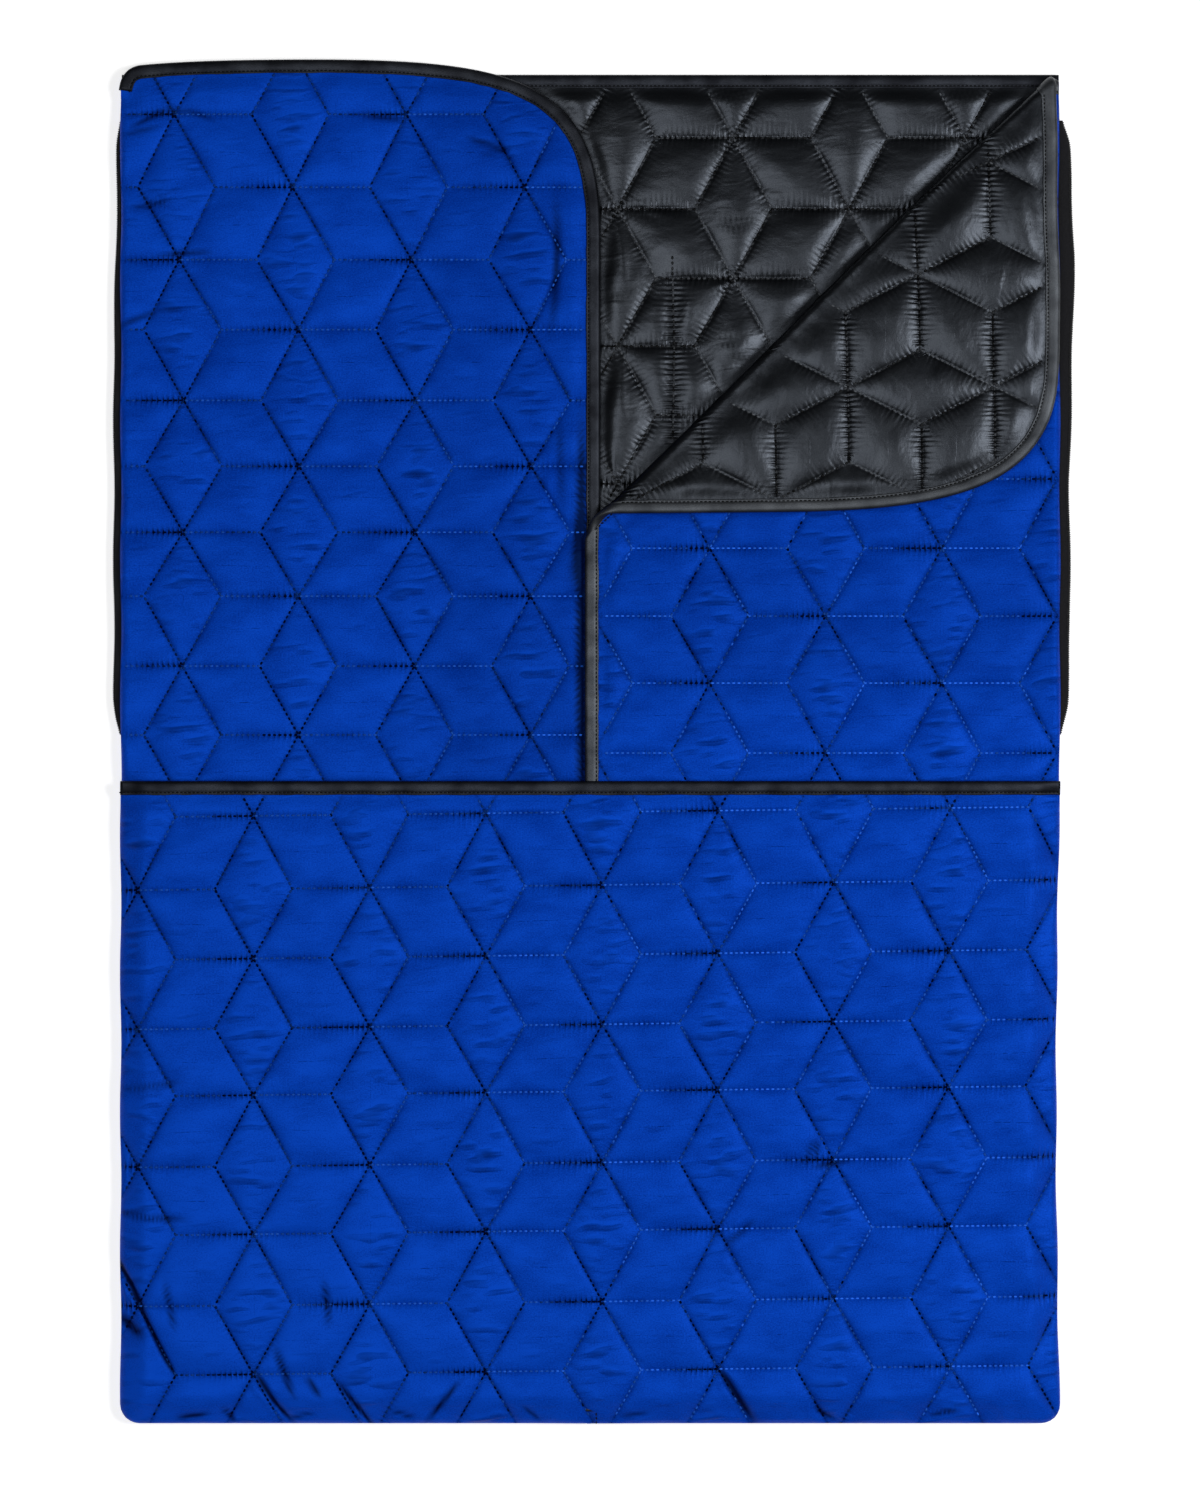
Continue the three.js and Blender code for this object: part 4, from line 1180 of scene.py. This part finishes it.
right_stitches = sewn(
    "right_front_stitches", star_lines(right_quilting, right_shows), place_right,
    lambda x, y: right_shape(x, y, False) + SHELL_RISE, blue_thread, blue_shine,
)


# Right front, lining.
# Glossy charcoal satin, quilted in stars of its own. It is the lower face of the right front, and the
# roll brings it to the top on the turned corner.

FLAP_PUFF = 3.7
FLAP_LIFT = 0.8
ROLL_BAND = 14
flap_quilting = Quilting(84, 776 + ROW_SPACING * np.arange(-6, 4))


def right_lining_shape(x, y, turned):
    """Below the outer cloth. The puffs grow where the roll ends."""
    past, along = past_fold(x, y)
    puffs = filled(flap_quilting, x, y, 51, FLAP_PUFF, 0.42, 0.8, 0.7)
    from_binding = distance_to(right_bound_edge, x, y)
    full = smooth(from_binding, BINDING_REACH - 1, BINDING_REACH + 12)
    full = full * smooth(past, ROLL_LENGTH + 1, ROLL_LENGTH + ROLL_BAND + 8)
    ripples = 0.28 * uneven(along, past, 7, 30, 57) + 0.4 * uneven(along, past, 31, 40, 58)
    rolled = ripples * smooth(past, -6, 4) * smooth(from_binding, BINDING_REACH - 1, BINDING_REACH + 8)
    inner = smooth(from_binding, BINDING_REACH, BINDING_REACH + 40)
    lift = FLAP_LIFT * inner * smooth(past, ROLL_LENGTH - 3, ROLL_LENGTH + 26)
    height = -1.2 - full * puffs + rolled * (1 - full) - lift
    return np.where(turned, 0, height) - RIGHT_DROOP * drooped(x, y, ZIP_FOOT)


right_lining = laid(
    "right_front_lining_cloth", flap_quilting, right_outline, RIGHT_STEPS, right_lining_shape, place_right,
    black_satin,
    slits=fold_slits,
    closed=False,
    face_down=True,
)
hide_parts("right_front_lining")


def flap_shows(x, y):
    clear = clear_of_tape(right_outline, right_bound_edge, x, y)
    return clear & (x < HALF_WIDTH - 3) & (past_fold(x, y)[0] > ROLL_LENGTH + 2)


flap_stitches = sewn(
    "right_front_lining_stitches", star_lines(flap_quilting, flap_shows), place_right,
    lambda x, y: right_lining_shape(x, y, False) - 0.15, black_thread, black_shine,
)


# Right front, edge tape.
# One length of the same satin tape binds the outer cloth and its lining together along the head and
# the inner edge, and turns over with the corner.

RIGHT_LOWER = -1
RIGHT_BINDING_STEP = 1.3
# The same tape, coloured lighter as painted light where this edge catches more light.
painted_lit_tape_satin = tape_satin("painted_lit_tape_satin", (0.03, 0.033, 0.038), (0.075, 0.082, 0.092))
right_binding = bound(
    "right_front_edge_tape", right_bound_edge, RIGHT_LOWER, SHELL_TOP, place_right, 43,
    painted_lit_tape_satin, RIGHT_BINDING_STEP,
)
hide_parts("right_front_binding")
edge_line = binding_line(right_bound_edge, RIGHT_BINDING_STEP)
edge_past, _ = past_fold(*edge_line.T)
turned_stitches = sewn_through(
    "turned_edge_stitches", edge_line[edge_past > ROLL_LENGTH], place_right, RIGHT_LOWER - STITCH_RISE
)
inner_stitches = sewn_through(
    "right_front_edge_stitches", edge_line[edge_past < 0], place_right, SHELL_TOP + STITCH_RISE
)


# Foot panel.
# One wide quilted piece across the lower half. It is sewn down at both sides and along the hem, where
# all the layers are turned in together, and its upper edge is bound and lies loose on the two fronts.

FOOT_STEPS = 23
FOOT_Z = 15.4
FOOT_LIFT = 1.2
FOOT_DROOP = 6.4
foot_outline = full_width(FOOT_LENGTH)
foot_quilting = Quilting(
    87.2, [37.1, 84.0, 132.3, 178.5, 226.8, 272.3, 319.6, 366.9, 416.5], lean=0.0115
)
foot_sewn_edges = [(-HALF_WIDTH, FOOT_LENGTH), *hem_corner(-1), *hem_corner(1), (HALF_WIDTH, FOOT_LENGTH)]
FOOT_CREASES = [
    Crease(166, 183, 26, 12, 2.2, 1.1),
    Crease(166, 178, 26, 12, 2.0, -1.0),
    Crease(97, 134, 26, 40, 2.2, 1.1),
    Crease(101, 130, 26, 40, 2.0, -1.0),
    Crease(-216, 18, 40, -55, 1.7, -1.9, 1.5),
    Crease(-220, 16, 40, -55, 2.6, 1.4),
    Crease(-159, 13, 36, -52, 1.6, -1.9),
    Crease(-163, 11, 34, -52, 2.6, 1.4),
    Crease(-286, 81, 30, -79, 1.8, -1.3),
    Crease(-179, 83, 28, -84, 1.8, -1.4),
    Crease(-208, 36, 34, -69, 2.0, -1.6),
    Crease(-188, 26, 16, -57, 2.0, -1.4),
    Crease(-313, 96, 36, -63, 1.7, -2.2),
    Crease(-317, 92, 30, -63, 2.2, 1.4),
    Crease(-296, 60, 56, -63, 1.5, -1.7),
    Crease(-313, 67, 22, -40, 3.4, -1.5),
    Crease(-300, 141, 46, -5, 1.8, -1.1, 1),
    Crease(-300, 230, 40, 8, 2.0, -0.9),
    Crease(-100, 16, 34, -128, 1.8, -1.5),
    Crease(-270, 6, 20, 8, 1.8, -1.4),
    Crease(-246, 7, 12, -50, 1.6, -1.3),
    Crease(-196, 6, 14, 12, 1.6, -1.1),
    Crease(-128, 7, 16, -20, 1.6, -1.2),
    Crease(-40, 8, 14, -40, 1.6, -1.1),
    Crease(30, 7, 18, 10, 1.6, -1.0),
    Crease(160, 7, 16, -30, 1.6, -1.1),
    Crease(240, 8, 18, 14, 1.6, -1.1),
    Crease(100, 20, 42, -58, 2.4, -1.6),
    Crease(96, 17, 38, -58, 2.8, 1.0),
    Crease(155, 186, 14, 84, 1.4, -1.3),
    Crease(150, 185, 16, 74, 1.4, -1.1),
]


def foot_shape(x, y, turned):
    puffs = filled(foot_quilting, x, y, 13, SHELL_PUFF, 0.32, 0.8) + creased(x, y, FOOT_CREASES)
    full = smooth(FOOT_LENGTH - y, BINDING_REACH - 1, BINDING_REACH + 13)
    side = distance_to(foot_sewn_edges, x, y)
    drawn = np.exp(-(x + HALF_WIDTH) / 34) * uneven(x, y, 70, 8, 81)
    scrunched = np.exp(-y / 11) * uneven(x + 0.6 * y, y, 6.5, 30, 82)
    puffs = puffs + 0.8 * drawn * smooth(x + HALF_WIDTH, 2, 12) + 0.9 * scrunched
    height = shell_height(full, puffs, FOOT_LENGTH - y < 4, side)
    return np.where(turned, 0, height) - FOOT_DROOP * drooped(x, y, FOOT_LENGTH + 20)


def foot_nap(x, y):
    """Painted light: how much lighter the satin is coloured down the left side and along the hem."""
    down_left = 0.24 * smooth(-x, -40, 220) * (1 - 0.4 * smooth(y, 200, 420))
    return down_left + 0.16 * (1 - smooth(y, 60, 260))


def place_foot(x, y, z):
    return on_table(x, y, FOOT_Z + z + FOOT_LIFT * overlap(x))


foot = laid(
    "foot_quilt", foot_quilting, foot_outline, FOOT_STEPS, foot_shape, place_foot, blue_satin,
    slits=side_slits + right_side_slits + hem_slits,
    # Painted shade in the foot's creases.
    trough=lambda x, y: -creased(x, y, FOOT_CREASES),
    nap=foot_nap,
)
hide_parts("foot_panel")


def foot_shows(x, y):
    clear = (distance_to(foot_sewn_edges, x, y) > 3) & (y < FOOT_LENGTH - BINDING_REACH - 1)
    return clear & (y > 3) & (np.abs(x) < HALF_WIDTH)


foot_stitches = sewn(
    "foot_stitches", star_lines(foot_quilting, foot_shows), place_foot,
    lambda x, y: foot_shape(x, y, False) + SHELL_RISE, blue_thread, blue_shine,
)


def place_foot_tape(x, y, z):
    return place_foot(x, y, z - FOOT_DROOP * drooped(x, y, FOOT_LENGTH + 20))


foot_tape = taped_edge("foot", foot_outline[-2:], 0, SHELL_TOP, place_foot_tape, 47)


# Back, edge tape.
# The back's head edge, outer cloth and lining together, is bound with the same tape.

back_tape = taped_edge("back", back_outline[-2:], 1.3, LINING_TOP, on_table, 49)


# Floor, light and camera.
# A plain white floor, a wide soft light above and a little to the left, a smaller one from the right,
# and a camera straight above.

FLOOR_REACH = 4.0
FLOOR_DROP = 0.0004
floor_corners = FLOOR_REACH * np.array([[-1, -1, 0], [1, -1, 0], [1, 1, 0], [-1, 1, 0]])
floor_mesh = meshed("floor", floor_corners, [[0, 1, 2, 3]])
floor = bpy.data.objects.new("floor", floor_mesh)
floor.location.z = cad_low.z - FLOOR_DROP
bpy.context.scene.collection.objects.link(floor)
white, _, shader = new_material("white_floor")
set_to(shader, Base_Color=(0.9, 0.9, 0.9, 1), Roughness=0.9, Specular_IOR_Level=0.1)
set_to(shader, Emission_Color=(1, 1, 1, 1), Emission_Strength=0.5)
floor_mesh.materials.append(white)


def softbox(name, place, size, power):
    """A square light that faces the middle of the floor."""
    light = bpy.data.lights.new(name, "AREA")
    light.shape = "RECTANGLE"
    light.size, light.size_y = size, size
    light.energy = power
    lamp = bpy.data.objects.new(name, light)
    lamp.location = place
    lamp.rotation_euler = (-lamp.location).to_track_quat("-Z", "Y").to_euler()
    bpy.context.scene.collection.objects.link(lamp)


softbox("overhead", (-0.7, -0.4, 3.4), 2.0, 50)
softbox("from_right", (1.5, 0.1, 2.0), 0.8, 34)

world = bpy.data.worlds.new("studio")
world.use_nodes = True
set_to(world.node_tree.nodes["Background"], Color=(1, 1, 1, 1), Strength=0.05)
bpy.context.scene.world = world
bpy.context.scene.view_settings.view_transform = "Standard"

MM_A_PIXEL = 0.68
IMAGE_HEIGHT = 1500
PHOTO_MIDDLE = (4.55, -5.89)
MEAN_HEIGHT = 15
CAMERA_HEIGHT = 3000
camera = bpy.data.cameras.new("camera")
camera.sensor_width = 36
camera.lens = camera.sensor_width * (CAMERA_HEIGHT - MEAN_HEIGHT) / (MM_A_PIXEL * IMAGE_HEIGHT)
eye = bpy.data.objects.new("camera", camera)
eye.location = (PHOTO_MIDDLE[0] * MM, PHOTO_MIDDLE[1] * MM, CAMERA_HEIGHT * MM)
bpy.context.scene.collection.objects.link(eye)
bpy.context.scene.camera = eye
